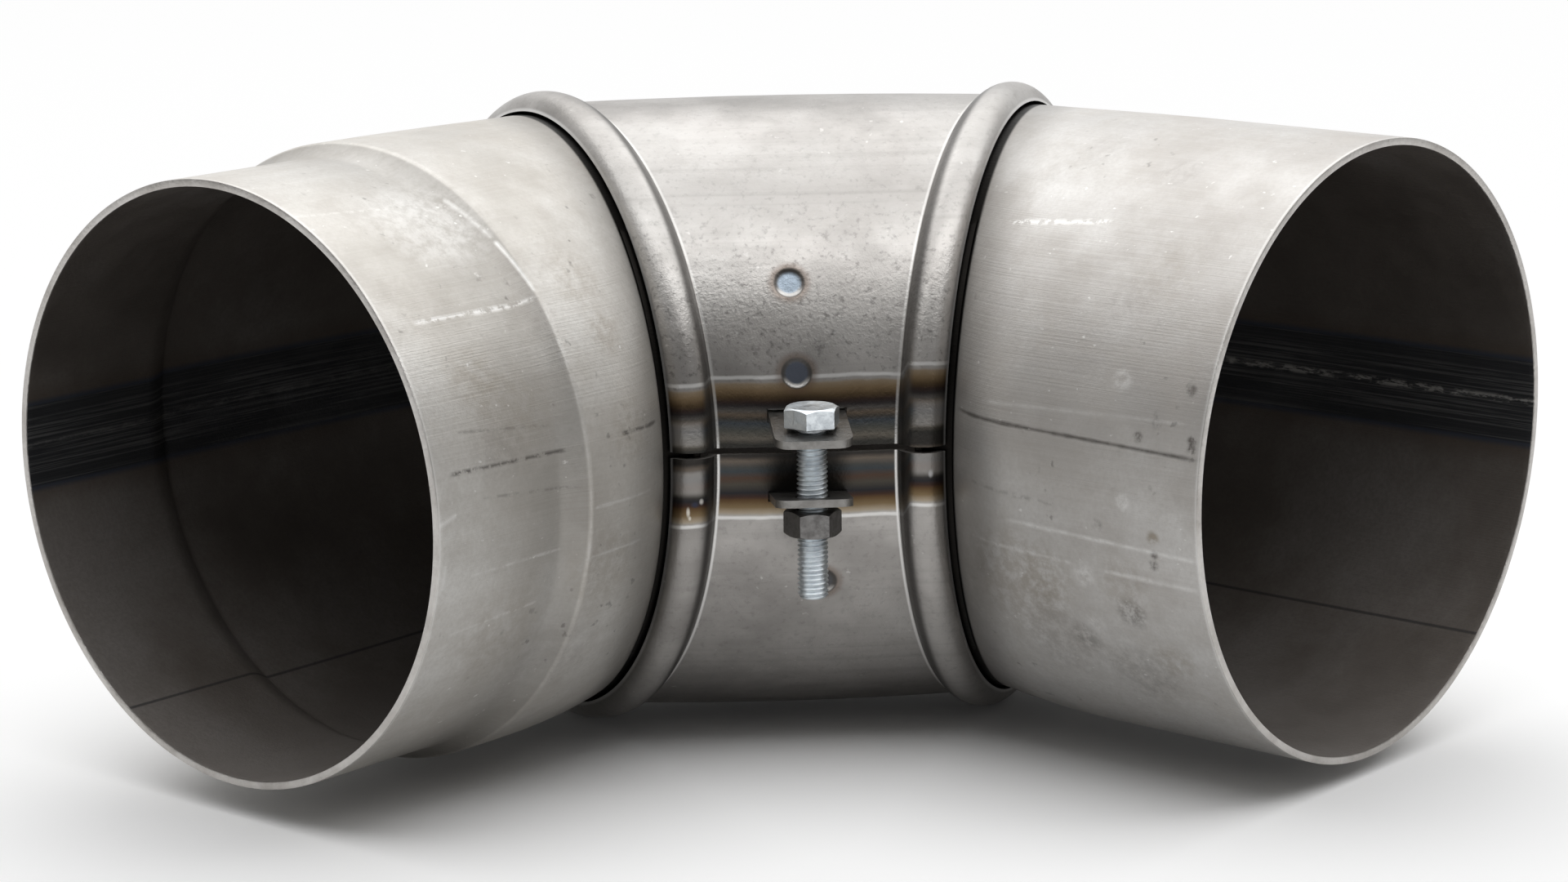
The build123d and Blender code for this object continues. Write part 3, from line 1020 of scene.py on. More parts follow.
@dataclass
class Leg:
    """One leg of the elbow: tube, shoulder, neck and flared rim. Sizes in metres."""

    node: str
    body: str
    slot: str
    swivel: Swivel
    along: Vector
    length: float
    end_radius: float
    outside: RawSheet
    inside: Bore
    wall: float = 2 * MM
    tube_radius: float = 82 * MM
    neck_radius: float = 80.9 * MM
    neck_length: float = 8 * MM
    flare_radius: float = 84.6 * MM
    shoulder_length: float = 64 * MM
    taper_length: float = 13 * MM
    crease_shift: float = 5 * MM
    spigot_length: float = 42 * MM
    throat_pull: float = 14 * MM
    heel_pull: float = 44 * MM
    edge_round: float = 0.35 * MM
    neck_lead: float = 1.5 * MM
    fillet: tuple[Pair, ...] = ((0.0, 1.2 * MM), (0.5 * MM, 0.4 * MM), (1.3 * MM, 0.0))
    tube_lead: float = 4 * MM
    crease_lines: Pair = (1.2 * MM, 0.3 * MM)
    taper_lead: float = 2 * MM
    rim_lines: Pair = (12 * MM, 2 * MM)
    taper_power: float = 1.7
    taper_steps: int = 12
    shoulder_steps: int = 26
    columns: int = 224

    def circle(self, throat: Pair, heel: Pair) -> Circle:
        """Circle through a point on the throat line and one on the heel line.

        Args:
            throat: Distance along the leg and toward the throat.
            heel: The same for the heel.

        Returns:
            Point on the circle for an angle up from the throat.
        """
        origin, side = self.swivel.centre, self.side()
        a = origin + self.along * throat[0] + side * throat[1]
        b = origin + self.along * heel[0] + side * heel[1]
        middle, arm = (a + b) / 2, (a - b) / 2
        up = Vector((0, 0, arm.length))
        return lambda turn: middle + math.cos(turn) * arm + math.sin(turn) * up

    def side(self) -> Vector:
        """Direction across the leg, toward the throat of the elbow."""
        cosine = self.along.dot(self.swivel.axis)
        return (self.along * cosine - self.swivel.axis).normalized()

    def shoulder(self, inset: float) -> list[Circle]:
        """Circles that blend the tilted neck into the tube.

        Args:
            inset: Depth below the outside of the sheet.

        Returns:
            The circles, from the neck to the tube.
        """
        tube, neck = self.tube_radius - inset, self.neck_radius - inset
        neck_end = self.neck_length + inset / 2
        cosine = self.along.dot(self.swivel.axis)
        sine = math.sqrt(1 - cosine * cosine)
        start = self.shoulder_length
        throat_end = (neck_end * cosine + neck * sine, neck * cosine - neck_end * sine)
        heel_end = (neck_end * cosine - neck * sine, -neck * cosine - neck_end * sine)

        def bend(first: Pair, turn: float, last: Pair, t: float) -> Pair:
            """Point on a quadratic curve from the tube to the neck."""
            a, b, c = (1 - t) ** 2, 2 * t * (1 - t), t * t
            return a * first[0] + b * turn + c * last[0], (a + b) * first[1] + c * last[1]

        circles = []
        for k in range(self.shoulder_steps):
            t = 1 - k / (self.shoulder_steps - 1)
            throat = bend((start, tube), start - self.throat_pull, throat_end, t)
            heel = bend((start, -tube), start - self.heel_pull, heel_end, t)
            circles.append(self.circle(throat, heel))
        return circles

    def tube(self, inset: float) -> list[Circle]:
        """Circles of the straight tube, the taper and the end, from shoulder to rim.

        Args:
            inset: Depth below the outside of the sheet.

        Returns:
            The circles.
        """
        tube, end = self.tube_radius - inset, self.end_radius - inset
        taper_end = self.length - self.spigot_length
        taper_start = taper_end - self.taper_length
        places = [(self.shoulder_length + self.tube_lead, tube)]
        if end < tube:
            crease = taper_start + self.crease_shift
            places += [(crease - gap, tube) for gap in self.crease_lines]
            for k in range(1, self.taper_steps + 1):
                t = k / self.taper_steps
                drop = 1 - (1 - t) ** self.taper_power
                places.append((crease + t * (taper_end - crease), tube + (end - tube) * drop))
            places.append((taper_end + self.taper_lead, end))
        places += [(self.length - gap, end) for gap in self.rim_lines]
        return [self.circle((z, r), (z, -r)) for z, r in places]

    def build(self) -> Thing:
        """Builds the leg's wall.

        Returns:
            The mesh object.
        """
        w, end, length = self.wall, self.end_radius, self.length
        soft = self.edge_round
        neck, flare = self.neck_radius, self.flare_radius
        rows: list[tuple[Circle, Wall]] = []
        neck_end = self.neck_length - self.neck_lead
        lip = [(-w / 2, neck - w), (-w / 2, flare - soft), (-w / 2 + soft, flare)]
        lip += [(w / 2 - soft, flare), (w / 2, flare - soft)]
        lip += [(w / 2 + s, neck + r) for s, r in self.fillet] + [(neck_end, neck)]
        rows += [(self.swivel.ring(s, r), Wall.OUTSIDE) for s, r in lip]
        rows += [(c, Wall.OUTSIDE) for c in self.shoulder(0.0) + self.tube(0.0)]
        rim = [(length - soft, end), (length - soft / 4, end - soft / 4), (length, end - soft)]
        rim += [(length, end - w + soft), (length - soft / 4, end - w + soft / 4)]
        rows += [(self.circle((z, r), (z, -r)), Wall.EDGE) for z, r in rim]
        rows.append((self.circle((length - soft, end - w), (length - soft, w - end)), Wall.INSIDE))
        rows += [(c, Wall.INSIDE) for c in reversed(self.shoulder(w) + self.tube(w))]
        rows.append((self.swivel.ring(neck_end, neck - w), Wall.INSIDE))
        turns = [math.pi * (2 * k / self.columns - 1) for k in range(self.columns + 1)]
        strips = []
        for circle, wall in rows:
            points = [circle(t) for t in turns]
            depths = [(p - self.swivel.centre).dot(self.along) for p in points]
            uv = [(t * self.tube_radius, depth) for t, depth in zip(turns, depths)]
            strips.append(Strip(points, uv, wall))
        return wall_mesh(self.node + "_sheet", strips, True, False)

    def dress(self, effects: Effects, edge: Material) -> Thing:
        """Builds the leg, gives it its finishes and hands it to the frame.

        Args:
            effects: Shared shader groups.
            edge: Finish of cut edges.

        Returns:
            The mesh object.
        """
        thing = self.build()
        for material in (self.outside.build(effects), edge, self.inside.build(effects)):
            thing.data.materials.append(material)
        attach(thing, self.body)
        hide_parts(self.node)
        return thing


@dataclass
class ClampBand:
    """Split band between the legs, with a rolled bead round each leg's flare. Sizes in metres."""

    left: Swivel
    right: Swivel
    finish: Optional[TintedBand] = None
    split_height: float = 2.7 * MM
    split_gap: float = 1.6 * MM
    wall: float = 2 * MM
    radius: float = 83.4 * MM
    end: float = 4.6 * MM
    bulge: float = 1.0 * MM
    crest: float = 87 * MM
    bead: float = 6.7 * MM
    lip: float = 81.9 * MM
    roll_end_deg: float = 142.0
    roll_base_deg: float = 152.4
    base_setback: float = 5.94 * MM
    base_span: Pair = (0.2, 1.05)
    lip_limit: float = 0.95
    weld_sink: float = 0.4 * MM
    weld_slope: float = 0.3
    weld_window: float = 1.2
    slot_heights: tuple[Pair, ...] = ((10.1 * MM, 13.6 * MM), (-11.1 * MM, -8.2 * MM))
    slot_half_width: float = 10.3 * MM
    columns: int = 320
    column_pad: float = 0.4
    halvings: int = 24
    bead_steps: int = 16
    body_steps: int = 64
    weld_steps: int = 18
    slot_steps: int = 3

    @property
    def middle(self) -> Vector:
        """Point halfway between the two swivels."""
        return (self.left.centre + self.right.centre) / 2

    def body(self, share: float, turn: float, inset: float) -> Vector:
        """Point on the barrelled body.

        Args:
            share: Place across the band, from -1 at the left mitre to 1 at the right one.
            turn: Angle up from the throat.
            inset: Depth below the outside.

        Returns:
            The point.
        """
        r = self.radius - inset
        a = self.left.ring(-self.end, r)(turn)
        c = self.right.ring(-self.end, r)(turn)
        cosine = abs(self.left.throat.y)
        sine = math.sqrt(1 - cosine * cosine)
        deep = self.radius * cosine - inset + self.bulge
        tall = r + self.bulge
        inward = self.end * sine - deep * math.cos(turn)
        b = self.middle + Vector((0, inward, tall * math.sin(turn)))
        return a * share * (share - 1) / 2 + b * (1 - share * share) + c * share * (share + 1) / 2

    def base_share(self, turn: float, inset: float, setback: float) -> float:
        """Share at which the body comes out of the right bead.

        Args:
            turn: Angle up from the throat.
            inset: Depth below the outside.
            setback: Distance from the mitre plane toward the middle.

        Returns:
            Share across the band.
        """
        low, high = self.base_span
        for _ in range(self.halvings):
            mid = (low + high) / 2
            off = (self.body(mid, turn, inset) - self.right.centre).dot(self.right.axis)
            low, high = (mid, high) if off < -setback else (low, mid)
        return low

    def sunk(self, point: Vector) -> Vector:
        """Moves a point of the outside in where a spot weld has sunk the sheet.

        Args:
            point: Point on the plain body.

        Returns:
            The moved point.
        """
        inward = self.middle - point
        inward.x = 0
        inward.normalize()
        for weld in self.finish.welds:
            gap = (point - weld.place).length / (self.finish.weld_radius * MM)
            share = min(1.0, max(0.0, (1.0 - gap) / self.weld_slope))
            point = point + inward * self.weld_sink * share * share * (3.0 - 2.0 * share)
        return point

    def columns_round(self, first: float, last: float) -> tuple[list[float], list[tuple[int, int]]]:
        """Places the columns round the band, closer at the welds and on the slots' edges.

        Args:
            first: Angle of the split's upper edge.
            last: Angle of its lower edge, one turn on.

        Returns:
            Places from 0 to 1, and the first and last column of each slot.
        """

        def part_of(height: float) -> float:
            """Place at a height over the middle, on the throat's side."""
            turn = math.asin(height / (self.radius + self.bulge)) % (2 * math.pi)
            return (turn - first) / (last - first)

        reach = self.weld_window * self.finish.weld_radius * MM / (self.radius * (last - first))
        spans = [(part_of(low), part_of(high), self.slot_steps) for low, high in self.slot_heights]
        for weld in self.finish.welds:
            place = part_of(weld.place.z - self.middle.z)
            spans.append((place - reach, place + reach, self.weld_steps))
        pad = self.column_pad / self.columns
        even = [k / self.columns for k in range(self.columns + 1)]
        parts = [p for p in even if not any(a - pad < p < b + pad for a, b, _ in spans)]
        parts += [a + (b - a) * k / steps for a, b, steps in spans for k in range(steps + 1)]
        parts.sort()
        firsts = [parts.index(span[0]) for span in spans[:len(self.slot_heights)]]
        return parts, [(k, k + self.slot_steps) for k in firsts]

    def line(self, turn_of: Callable[[float], float], inset: float) -> list[tuple[Vector, float]]:
        """Points across the band from lip to lip, with their distance from the bead's base.

        Args:
            turn_of: Angle up from the throat for a radius, so that the split's edges are straight.
            inset: Depth below the outside.

        Returns:
            Points and distances, positive on the body and negative on the beads.
        """
        core = self.crest - self.bead
        roll = self.bead - inset
        first = math.asin(min(self.lip_limit, (self.lip - core) / roll))
        last, base = math.radians(self.roll_end_deg), math.radians(self.roll_base_deg)
        arcs = []
        for k in range(self.bead_steps + 1):
            a = first + (last - first) * k / self.bead_steps
            arcs.append((roll * math.cos(a), core + roll * math.sin(a), (a - base) * roll))
        left = [(self.left.ring(s, r)(turn_of(r)), g) for s, r, g in arcs]
        right = [(self.right.ring(s, r)(turn_of(r)), g) for s, r, g in reversed(arcs)]
        turn = turn_of(self.radius)
        edge = self.base_share(turn, inset, self.end if inset else self.base_setback)
        shares = [edge * (2 * k / self.body_steps - 1) for k in range(self.body_steps + 1)]
        middle = [self.body(share, turn, inset) for share in shares]
        gaps = [min((p - middle[0]).length, (p - middle[-1]).length) for p in middle]
        if inset == 0:
            middle = [self.sunk(p) for p in middle]
        return left + list(zip(middle, gaps)) + right

    def build(self) -> Thing:
        """Builds the band's wall with its split.

        Returns:
            The mesh object.
        """
        upper = self.split_height + self.split_gap / 2
        lower = self.split_height - self.split_gap / 2

        def ends(radius: float) -> Pair:
            """Angles of the split's two edges on a circle of a radius."""
            return math.asin(upper / radius), 2 * math.pi + math.asin(lower / radius)

        columns = []
        parts, slot_columns = self.columns_round(*ends(self.radius))
        for part in parts:

            def turn_of(radius: float, part: float = part) -> float:
                """Angle of this column on a circle of a radius."""
                first, last = ends(radius)
                return first + (last - first) * part

            outer, inner = self.line(turn_of, 0.0), self.line(turn_of, self.wall)
            columns.append((outer + inner[::-1], turn_of(self.radius)))
        rows = len(columns[0][0])
        strips = []
        for row in range(rows):
            points = [column[row][0] for column, _ in columns]
            uv = [(turn * self.radius, column[row][1]) for column, turn in columns]
            wall = Wall.OUTSIDE if row < rows // 2 - 1 else Wall.INSIDE
            if row in (rows // 2 - 1, rows - 1):
                wall = Wall.EDGE
            strips.append(Strip(points, uv, wall))
        slots = []
        for first, last in slot_columns:
            off = [abs(strip.points[first].x - self.middle.x) for strip in strips[:rows // 2]]
            wide = [row for row, gap in enumerate(off) if gap < self.slot_half_width]
            slots.append(Slot((wide[0] - 1, wide[-1] + 1), (first, last)))
        return wall_mesh("clamp_band_sheet", strips, False, True, slots)

    def dress(self, effects: Effects, edge: Material, inside: Material) -> Thing:
        """Builds the band, gives it its finishes and hands it to the frame.

        Args:
            effects: Shared shader groups.
            edge: Finish of cut edges.
            inside: Finish of the inner wall.

        Returns:
            The mesh object.
        """
        thing = self.build()
        for material in (self.finish.build(effects), edge, inside):
            thing.data.materials.append(material)
        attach(thing, "band")
        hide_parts("clamp_band")
        return thing


@dataclass
class HexBolt:
    """Hex head bolt with a rolled thread. Sizes in metres, heights from under the head."""

    foot: Vector
    finish: SmallSteel
    thread_radius: float = 4.0 * MM
    root_radius: float = 3.38 * MM
    pitch: float = 1.25 * MM
    length: float = 45 * MM
    head_height: float = 5.3 * MM
    across_flats: float = 13 * MM
    tip_chamfer: float = 0.8 * MM
    head_turn_deg: float = 15.0
    chamfer_deg: float = 30.0
    head_rows: tuple[Pair, ...] = ((0.30, 0.25 * MM), (0.66, 0.25 * MM), (0.76, 0.0), (0.94, 0.0))
    foot_round: float = 0.25 * MM
    plain_length: float = 1.2 * MM
    sharp_deg: float = 28.0
    columns: int = 72
    rows_per_pitch: int = 12

    def thread_depth(self, height: float, turn: float) -> float:
        """Radius of the thread at a height and angle, tapered off at its two ends.

        Args:
            height: Distance under the head.
            turn: Angle round the axis.

        Returns:
            Radius.
        """
        phase = (height / self.pitch + turn / (2 * math.pi)) % 1.0
        crest = 0.5 - 0.5 * math.cos(2 * math.pi * phase)
        radius = self.root_radius + (self.thread_radius - self.root_radius) * crest
        tip = self.thread_radius - max(0.0, height - self.length + self.tip_chamfer)
        runout = self.thread_radius if height < self.plain_length else radius
        return min(runout, tip)

    def build(self) -> Thing:
        """Builds the head and the threaded shank as one closed mesh.

        Returns:
            The mesh object.
        """
        flat = self.across_flats / 2
        chamfer = math.tan(math.radians(self.chamfer_deg))
        head_turn = math.radians(self.head_turn_deg)
        turns = [2 * math.pi * k / self.columns for k in range(self.columns)]

        def hexagon(turn: float) -> float:
            """Radius of the hexagon at an angle."""
            return flat / math.cos((turn + head_turn + math.pi / 6) % (math.pi / 3) - math.pi / 6)

        rows: list[list[Vector]] = []

        def add(radius: Callable[[float], float], height: Callable[[float], float]) -> None:
            """Adds one row of points."""
            polar = [(radius(t), t, height(t)) for t in turns]
            rows.append([Vector((r * math.cos(t), r * math.sin(t), h)) for r, t, h in polar])

        top, face = self.head_height, flat * self.head_rows[-1][0]
        for share, depth in self.head_rows:
            add(lambda t, r=flat * share: r, lambda t, z=top - depth: z)
        add(hexagon, lambda t: top - (hexagon(t) - face) * chamfer)
        add(hexagon, lambda t: self.foot_round)
        add(lambda t: hexagon(t) - self.foot_round, lambda t: 0.0)
        add(lambda t: self.thread_radius, lambda t: 0.0)
        count = int(self.length / self.pitch * self.rows_per_pitch)
        for k in range(1, count + 1):
            depth = self.length * k / count
            add(lambda t, d=depth: self.thread_depth(d, t), lambda t, d=depth: -d)
        faces: list[tuple[int, ...]] = []
        n = self.columns
        for row in range(len(rows) - 1):
            for k in range(n):
                a, b = row * n + k, row * n + (k + 1) % n
                faces.append((a, a + n, b + n, b))
        faces.append(tuple(range(n)))
        faces.append(tuple(reversed(range((len(rows) - 1) * n, len(rows) * n))))
        mesh = bpy.data.meshes.new("clamp_bolt_threaded")
        mesh.from_pydata([self.foot + p for row in rows for p in row], [], faces)
        thing = finish_mesh("clamp_bolt_threaded", mesh, self.sharp_deg)
        under_head = self.foot.z - self.pitch / 2
        for edge in mesh.edges:
            if all(mesh.vertices[v].co.z < under_head for v in edge.vertices):
                edge.use_edge_sharp = False
        return thing

    def dress(self, effects: Effects) -> Thing:
        """Builds the bolt, gives it its finish and hands it to the frame.

        Args:
            effects: Shared shader groups.

        Returns:
            The mesh object.
        """
        thing = self.build()
        thing.data.materials.append(self.finish.build(effects))
        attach(thing, "bolt")
        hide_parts("clamp_bolt")
        return thing


def dress_node(node: Thing, material: Material) -> Thing:
    """Gives a CAD node its finish and rounds its edges a little.

    Args:
        node: The CAD node's object.
        material: Its finish.

    Returns:
        The node.
    """
    node.data.materials.clear()
    node.data.materials.append(material)
    rounding = node.modifiers.new("broken_edges", "BEVEL")
    rounding.width = BROKEN_EDGE
    rounding.segments = 2
    rounding.limit_method = "ANGLE"
    rounding.angle_limit = math.radians(BEVEL_FROM_DEG)
    return node


@dataclass(frozen=True)
class Lamp:
    """Soft rectangular lamp, placed from the elbow's middle. Metres and watts."""

    name: str
    place: Vector
    aim: Vector
    size: Pair
    power: float

    def hang(self, origin: Vector) -> None:
        """Puts the lamp in the scene.

        Args:
            origin: The elbow's middle.
        """
        data = bpy.data.lights.new(self.name, "AREA")
        data.shape = "RECTANGLE"
        data.size, data.size_y = self.size
        data.energy = self.power
        thing = bpy.data.objects.new(self.name, data)
        thing.location = origin + self.place
        thing.rotation_euler = (self.aim - self.place).to_track_quat("-Z", "Y").to_euler()
        bpy.context.scene.collection.objects.link(thing)


@dataclass
class Studio:
    """Pale floor, soft lamps and the camera of the photograph. Places in metres."""

    origin: Vector
    camera_place: Vector = Vector((-0.0823, -1.0681, 0.2248))
    camera_turn_deg: Triple = (77.55, 0.57, -4.52)
    focal_px: float = 4820.0
    image_px: float = 1920.0
    sensor: float = 36.0
    floor_half: float = 6.0
    room_front: Colour = (0.16, 0.16, 0.16)
    room_back: Colour = (0.80, 0.80, 0.80)
    room_span: Pair = (-0.1, 0.6)
    lamps: tuple[Lamp, ...] = (
        Lamp("softbox", Vector((0.22, 0.17, 1.3)), Vector((0.20, 0.13, 0.0)), (3.4, 2.74), 38.0),
        Lamp("strip", Vector((0.1, -0.66, 1.2)), Vector((0.0, 0.0, 0.0)), (3.2, 0.42), 5.2),
    )
    leg_from: Vector = Vector((0.061, 0.032, 0.0))
    leg_to: Vector = Vector((0.150, -0.057, 0.0))
    # Glow of the floor by distance from the elbow's resting place: fading out near it paints a
    # shadow there.
    glow: Stops = (
        (0.03, (0.0, 0.0, 0.0)), (0.085, (0.25, 0.25, 0.25)), (0.14, (0.60, 0.60, 0.60)),
        (0.30, (0.75, 0.75, 0.75)), (0.90, (0.96, 0.96, 0.96)),
    )

    def clear_of_elbow(self, g: Graph, place: Socket) -> Socket:
        """Distance over the floor from the elbow's centre line, the same on both sides.

        Args:
            g: Graph of the floor's material.
            place: Place on the floor.

        Returns:
            Distance in metres.
        """
        run = self.leg_to - self.leg_from
        half = g.vector("ABSOLUTE", g.offset(place, (self.origin.x, 0.0, 0.0))).outputs[0]
        sideways, deep = g.scaled(half, (1.0, 0.0, 0.0)), g.scaled(place, (0.0, 1.0, 0.0))
        from_knee = g.offset(g.vector("ADD", sideways, deep).outputs[0], tuple(self.leg_from))
        share = g.clamp(g.dot(from_knee, tuple(run / run.length_squared)))
        leg = g.past_line(from_knee, tuple(run), share)
        across, along, _ = g.split(from_knee)
        beyond = g.math("MAXIMUM", across, 0.0)
        band = g.math("SQRT", g.plus(g.math("POWER", beyond, 2.0), g.math("POWER", along, 2.0)))
        return g.math("MINIMUM", leg, band)

    def camera(self) -> None:
        """Sets the camera at the photograph's viewpoint."""
        data = bpy.data.cameras.new("photo_camera")
        data.sensor_width = self.sensor
        data.lens = self.sensor * self.focal_px / self.image_px
        thing = bpy.data.objects.new("photo_camera", data)
        thing.location = self.origin + self.camera_place
        thing.rotation_euler = Euler([math.radians(a) for a in self.camera_turn_deg], "XYZ")
        bpy.context.scene.collection.objects.link(thing)
        bpy.context.scene.camera = thing

    def floor(self) -> None:
        """Lays the pale floor, which stays near white to the camera and in reflections away from
        the elbow; its glow fades out toward the elbow's resting place, a painted shadow on top of
        the real one.
        """
        h = self.floor_half
        mesh = bpy.data.meshes.new("floor")
        mesh.from_pydata([(-h, -h, 0), (h, -h, 0), (h, h, 0), (-h, h, 0)], [], [(0, 1, 2, 3)])
        thing = bpy.data.objects.new("floor", mesh)
        bpy.context.scene.collection.objects.link(thing)
        finish = Finish("floor_paper", 0.0)
        g = finish.graph
        finish.shader.inputs["Base Color"].default_value = (0.90, 0.90, 0.90, 1.0)
        finish.shader.inputs["Roughness"].default_value = 0.9
        glow = g.add("ShaderNodeEmission")
        glow.inputs["Strength"].default_value = 1.0
        pale = g.add("ShaderNodeMixShader")
        # Painted shadow: the glow fades out near the elbow's resting place.
        g.feed(pale.inputs[0], g.ramp(self.clear_of_elbow(g, finish.place), self.glow))
        g.feed(pale.inputs[1], finish.shader.outputs[0])
        g.feed(pale.inputs[2], glow.outputs[0])
        dim = g.add("ShaderNodeBsdfDiffuse")
        dim.inputs["Color"].default_value = (0.22, 0.22, 0.22, 1.0)
        path = g.add("ShaderNodeLightPath").outputs
        mirrored = g.plus(path["Is Glossy Ray"], path["Is Transmission Ray"])
        seen = g.add("ShaderNodeMixShader")
        g.feed(seen.inputs[0], g.clamp(g.plus(path["Is Camera Ray"], mirrored)))
        g.feed(seen.inputs[1], dim.outputs[0])
        g.feed(seen.inputs[2], pale.outputs[0])
        output = finish.material.node_tree.nodes["Material Output"]
        g.feed(output.inputs["Surface"], seen.outputs[0])
        mesh.materials.append(finish.material)
        thing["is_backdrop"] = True

    def light(self) -> None:
        """Lights the elbow with the lamps and a room that is paler behind it."""
        world = bpy.data.worlds.new("studio")
        world.use_nodes = True
        room = Graph(world.node_tree)
        toward = room.split(room.add("ShaderNodeTexCoord").outputs["Generated"])[1]
        shades = ((0.0, self.room_front), (1.0, self.room_back))
        shade = room.ramp(room.between(toward, *self.room_span), shades)
        room.feed(world.node_tree.nodes["Background"].inputs["Color"], shade)
        bpy.context.scene.world = world
        for lamp in self.lamps:
            lamp.hang(self.origin)

    def build(self) -> None:
        """Sets up the whole studio."""
        self.camera()
        self.floor()
        self.light()
        bpy.context.scene.view_settings.view_transform = "Standard"


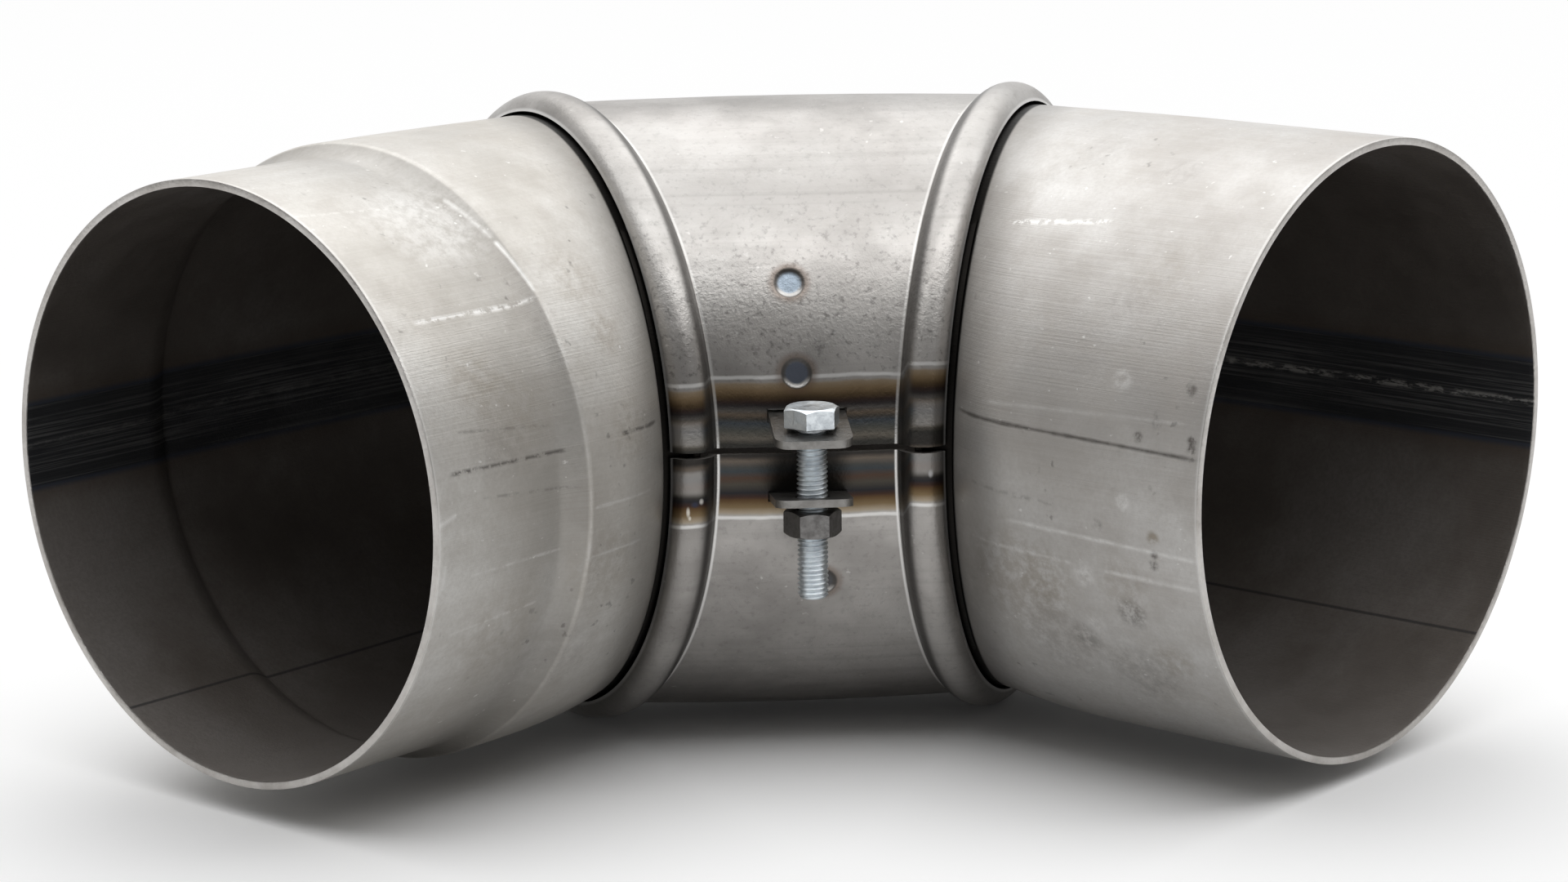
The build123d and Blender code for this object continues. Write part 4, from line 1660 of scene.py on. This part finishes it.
class Elbow:
    """The whole elbow: reads the frame and dresses each piece in order."""

    def __init__(self) -> None:
        """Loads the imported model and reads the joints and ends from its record."""
        self.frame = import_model()
        self.cad_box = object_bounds()
        joints = {j["name"]: j for j in self.frame["joints"]}
        mounts = {m["name"]: m for m in self.frame["record"]["mounts"]}
        self.inlet = self.swivel(joints["inlet_swivel"])
        self.outlet = self.swivel(joints["outlet_swivel"])
        self.inlet_along = Vector(mounts["inlet_spigot"]["axis"]).normalized()
        self.outlet_along = Vector(mounts["outlet_socket"]["axis"]).normalized()
        self.spigot_radius = mounts["inlet_spigot"]["dims"]["r_mm"] * MM
        self.spigot_length = mounts["inlet_spigot"]["dims"]["length_mm"] * MM
        self.bolt_axis = Vector(joints["bolt_turn"]["pos_m"])
        self.middle = (self.inlet.centre + self.outlet.centre) / 2

    @staticmethod
    def swivel(joint: dict) -> Swivel:
        """Reads a swivel joint from the record.

        Args:
            joint: The joint's record.

        Returns:
            Its centre and directions.
        """
        axis = Vector(joint["axis"]).normalized()
        side = math.copysign(1.0, axis.x)
        return Swivel(Vector(joint["pos_m"]), axis, Vector((side * axis.y, -side * axis.x, 0)))

    def end_length(self, swivel: Swivel, along: Vector, mount: str) -> float:
        """Distance from a mitre centre to the leg's rim, from the mount at that rim.

        Args:
            swivel: The leg's joint.
            along: The leg's direction.
            mount: Name of the mount.

        Returns:
            Distance in metres.
        """
        found = next(m for m in self.frame["record"]["mounts"] if m["name"] == mount)
        middle = (Vector(found["pos_m"]) - swivel.centre).dot(along)
        return middle + found["dims"]["length_mm"] * MM / 2

    def legs(self) -> tuple[Leg, Leg]:
        """Describes the two legs with the marks that each one carries.

        Returns:
            The inlet leg and the outlet leg.
        """
        inlet_length = self.end_length(self.inlet, self.inlet_along, "inlet_spigot")
        outlet_length = self.end_length(self.outlet, self.outlet_along, "outlet_socket")
        grey, dark = (0.33, 0.305, 0.285), (0.13, 0.115, 0.105)
        rust, white = (0.34, 0.295, 0.24), (0.86, 0.85, 0.83)
        inlet_sheet = RawSheet(
            "inlet_outside",
            (
                Mark((91.0, 80.0), (72.0, 78.2), 0.8, True, 0.55, 0.5),
                Mark((72.0, 78.2), (54.0, 76.8), 0.7, True, 0.95, 0.1),
                Mark((54.0, 76.8), (-22.0, 76.3), 0.45, True, 0.28, 0.7),
                Mark((54.0, 118.0), (53.0, 76.0), 1.1, True, 0.85),
                Mark((96.0, 128.0), (92.0, 96.0), 0.9, True, 0.35),
                Mark((13.8, 122.0), (13.0, 80.0), 0.8, False, 0.9, 0.9),
                Mark((14.0, 64.0), (13.8, 46.0), 0.7, False, 0.9, 0.7),
                Mark((24.0, 118.0), (20.0, 84.0), 0.6, False, 0.35),
                Mark((6.0, 112.0), (3.0, 78.0), 0.6, False, 0.40),
                Mark((-3.0, 76.0), (-2.5, 52.0), 0.6, True, 0.45, 0.4),
                Mark((-14.0, 116.0), (-13.0, 82.0), 0.7, True, 0.40, 0.8),
                Mark((-16.0, 76.0), (-15.0, 56.0), 0.6, True, 0.45, 0.4),
                Mark((-30.0, 120.0), (-27.0, 88.0), 0.7, True, 0.35),
                Mark((1.0, 128.0), (3.5, 120.0), 1.0, True, 0.6, 0.0),
                Mark((-9.0, 124.0), (-16.0, 124.5), 1.0, True, 0.5, 0.0),
            ),
            smudges(
                (36.0, 106.0, 12.0, rust, 0.40), (26.0, 96.0, 18.0, rust, 0.30),
                (17.0, 104.0, 12.0, grey, 0.35), (40.0, 60.0, 9.0, rust, 0.45),
                (56.0, 62.0, 13.0, rust, 0.35), (14.0, 60.0, 12.0, rust, 0.35),
                (-20.0, 70.0, 16.0, rust, 0.35), (-34.0, 100.0, 22.0, rust, 0.3),
                (-46.0, 76.0, 18.0, grey, 0.3), (84.0, 92.0, 24.0, white, 0.35),
            ),
            inlet_length / MM, self.inlet.centre, self.inlet.axis, 76.6, 116.0, 0.34,
            dark=(0.465, 0.44, 0.40), plain=(0.61, 0.585, 0.545), pale=(0.71, 0.695, 0.665),
        )
        outlet_sheet = RawSheet(
            "outlet_outside",
            (
                Mark((14.2, 40.0), (12.4, 123.0), 0.75, False, 0.95, 0.15),
                Mark((18.5, 52.0), (20.9, 120.0), 0.8, True, 0.35, 0.4),
                Mark((-11.0, 62.0), (-13.4, 123.0), 0.9, True, 0.75, 0.4),
                Mark((-18.0, 48.0), (-20.0, 84.0), 0.8, True, 0.45, 0.7),
                Mark((-20.5, 92.0), (-21.3, 122.0), 0.9, True, 0.6, 0.4),
                Mark((-3.0, 50.0), (-5.0, 80.0), 0.8, False, 0.3),
                Mark((67.5, 42.0), (72.0, 76.0), 1.3, True, 0.9, 1.3),
            ),
            smudges(
                (15.8, 103.5, 2.0, dark, 0.9), (19.8, 108.5, 1.9, dark, 0.85),
                (22.2, 108.2, 1.4, dark, 0.7), (14.6, 119.6, 1.9, dark, 1.0),
                (16.8, 119.4, 1.9, dark, 1.0), (29.0, 117.0, 2.1, dark, 0.85),
                (29.2, 96.2, 4.0, white, 0.6), (-9.0, 109.0, 2.6, rust, 0.9),
                (-13.4, 109.0, 1.6, dark, 0.8), (-16.2, 108.6, 2.1, dark, 0.85),
                (-8.0, 92.0, 2.2, dark, 0.6), (-1.0, 100.0, 3.0, white, 0.7),
                (-22.8, 86.0, 5.0, white, 0.7), (-31.8, 99.0, 6.0, dark, 0.7),
                (-28.0, 62.0, 22.0, rust, 0.45), (-46.0, 72.0, 18.0, grey, 0.45),
                (-54.0, 96.0, 16.0, dark, 0.3), (-38.0, 86.0, 4.5, white, 0.5),
                (-43.0, 82.0, 6.0, dark, 0.4), (-26.0, 74.0, 13.0, rust, 0.4),
                (-24.0, 98.0, 12.0, rust, 0.35), (-46.0, 108.0, 9.0, rust, 0.45),
                (50.0, 91.0, 9.0, grey, 0.3), (93.0, 84.0, 9.0, grey, 0.35),
                (100.0, 56.0, 12.0, grey, 0.2), (58.0, 100.0, 14.0, rust, 0.2),
            ),
            outlet_length / MM, self.outlet.centre, self.outlet.axis,
        )
        inlet = Leg(
            "inlet_leg", "inlet", "leg_steel", self.inlet, self.inlet_along, inlet_length,
            self.spigot_radius, inlet_sheet, Bore("inlet_inside", 0.15, -173.5),
            spigot_length=self.spigot_length,
        )
        outlet = Leg(
            "outlet_leg", "outlet", "leg_steel", self.outlet, self.outlet_along, outlet_length,
            Leg.tube_radius, outlet_sheet, Bore("outlet_inside", 0.9, -188.3),
        )
        return inlet, outlet

    def band(self) -> ClampBand:
        """Describes the clamp band with the places of its spot welds.

        Returns:
            The band.
        """
        band = ClampBand(self.inlet, self.outlet)
        looks = (
            (15.4, -2.4, (0.11, 0.125, 0.16)),
            (31.9, -3.4, (0.36, 0.43, 0.51)),
            (-24.1, 4.0, (0.10, 0.10, 0.105)),
        )
        welds = []
        for angle, offset, colour in looks:
            point = band.body(0.0, math.radians(angle), 0.0)
            welds.append(SpotWeld(point + Vector((offset * MM, 0, 0)), colour))
        split = self.middle + Vector((0, 0, band.split_height))
        band.finish = TintedBand("band_outside", split, tuple(welds))
        return band

    def dress(self) -> None:
        """Builds and dresses every piece, and reports each one."""
        effects = Effects()
        edge = CutEdge().build(effects)
        inlet, outlet = self.legs()
        made = [inlet.dress(effects, edge), outlet.dress(effects, edge)]
        band_inside = Bore("band_inside", 0.0, OFF_SHEET, half_turn=OFF_SHEET).build(effects)
        made.append(self.band().dress(effects, edge, band_inside))
        zinc = SmallSteel("bolt_zinc", (0.80, 0.85, 0.88), (0.58, 0.63, 0.68), 0.3)
        low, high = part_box("clamp_bolt")
        foot = Vector((self.bolt_axis.x, self.bolt_axis.y, high.z - HexBolt.head_height))
        made.append(HexBolt(foot, zinc, length=high.z - HexBolt.head_height - low.z).dress(effects))
        lug = SmallSteel("lug_steel", (0.23, 0.225, 0.215), (0.145, 0.138, 0.13), 0.36, 0.15)
        nut = SmallSteel("nut_steel", (0.235, 0.23, 0.225), (0.125, 0.118, 0.114), 0.36)
        raw, dull = lug.build(effects), nut.build(effects)
        nodes = self.frame["nodes"]
        for name, material in (("upper_lug", raw), ("lower_lug", raw), ("clamp_nut", dull)):
            made.append(dress_node(nodes[name], material))
        for thing in made:
            LOG.info("dressed %s", thing.name)

    def write_size(self) -> None:
        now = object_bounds()
        boxes = {"cad": [list(c) for c in self.cad_box], "visual": [list(c) for c in now]}


def main() -> None:
    """Builds the elbow and its studio."""
    logging.basicConfig(level=logging.INFO, format="%(name)s: %(message)s")
    elbow = Elbow()
    elbow.dress()
    Studio(elbow.middle).build()
    elbow.write_size()


if __name__ == "__main__":
    main()
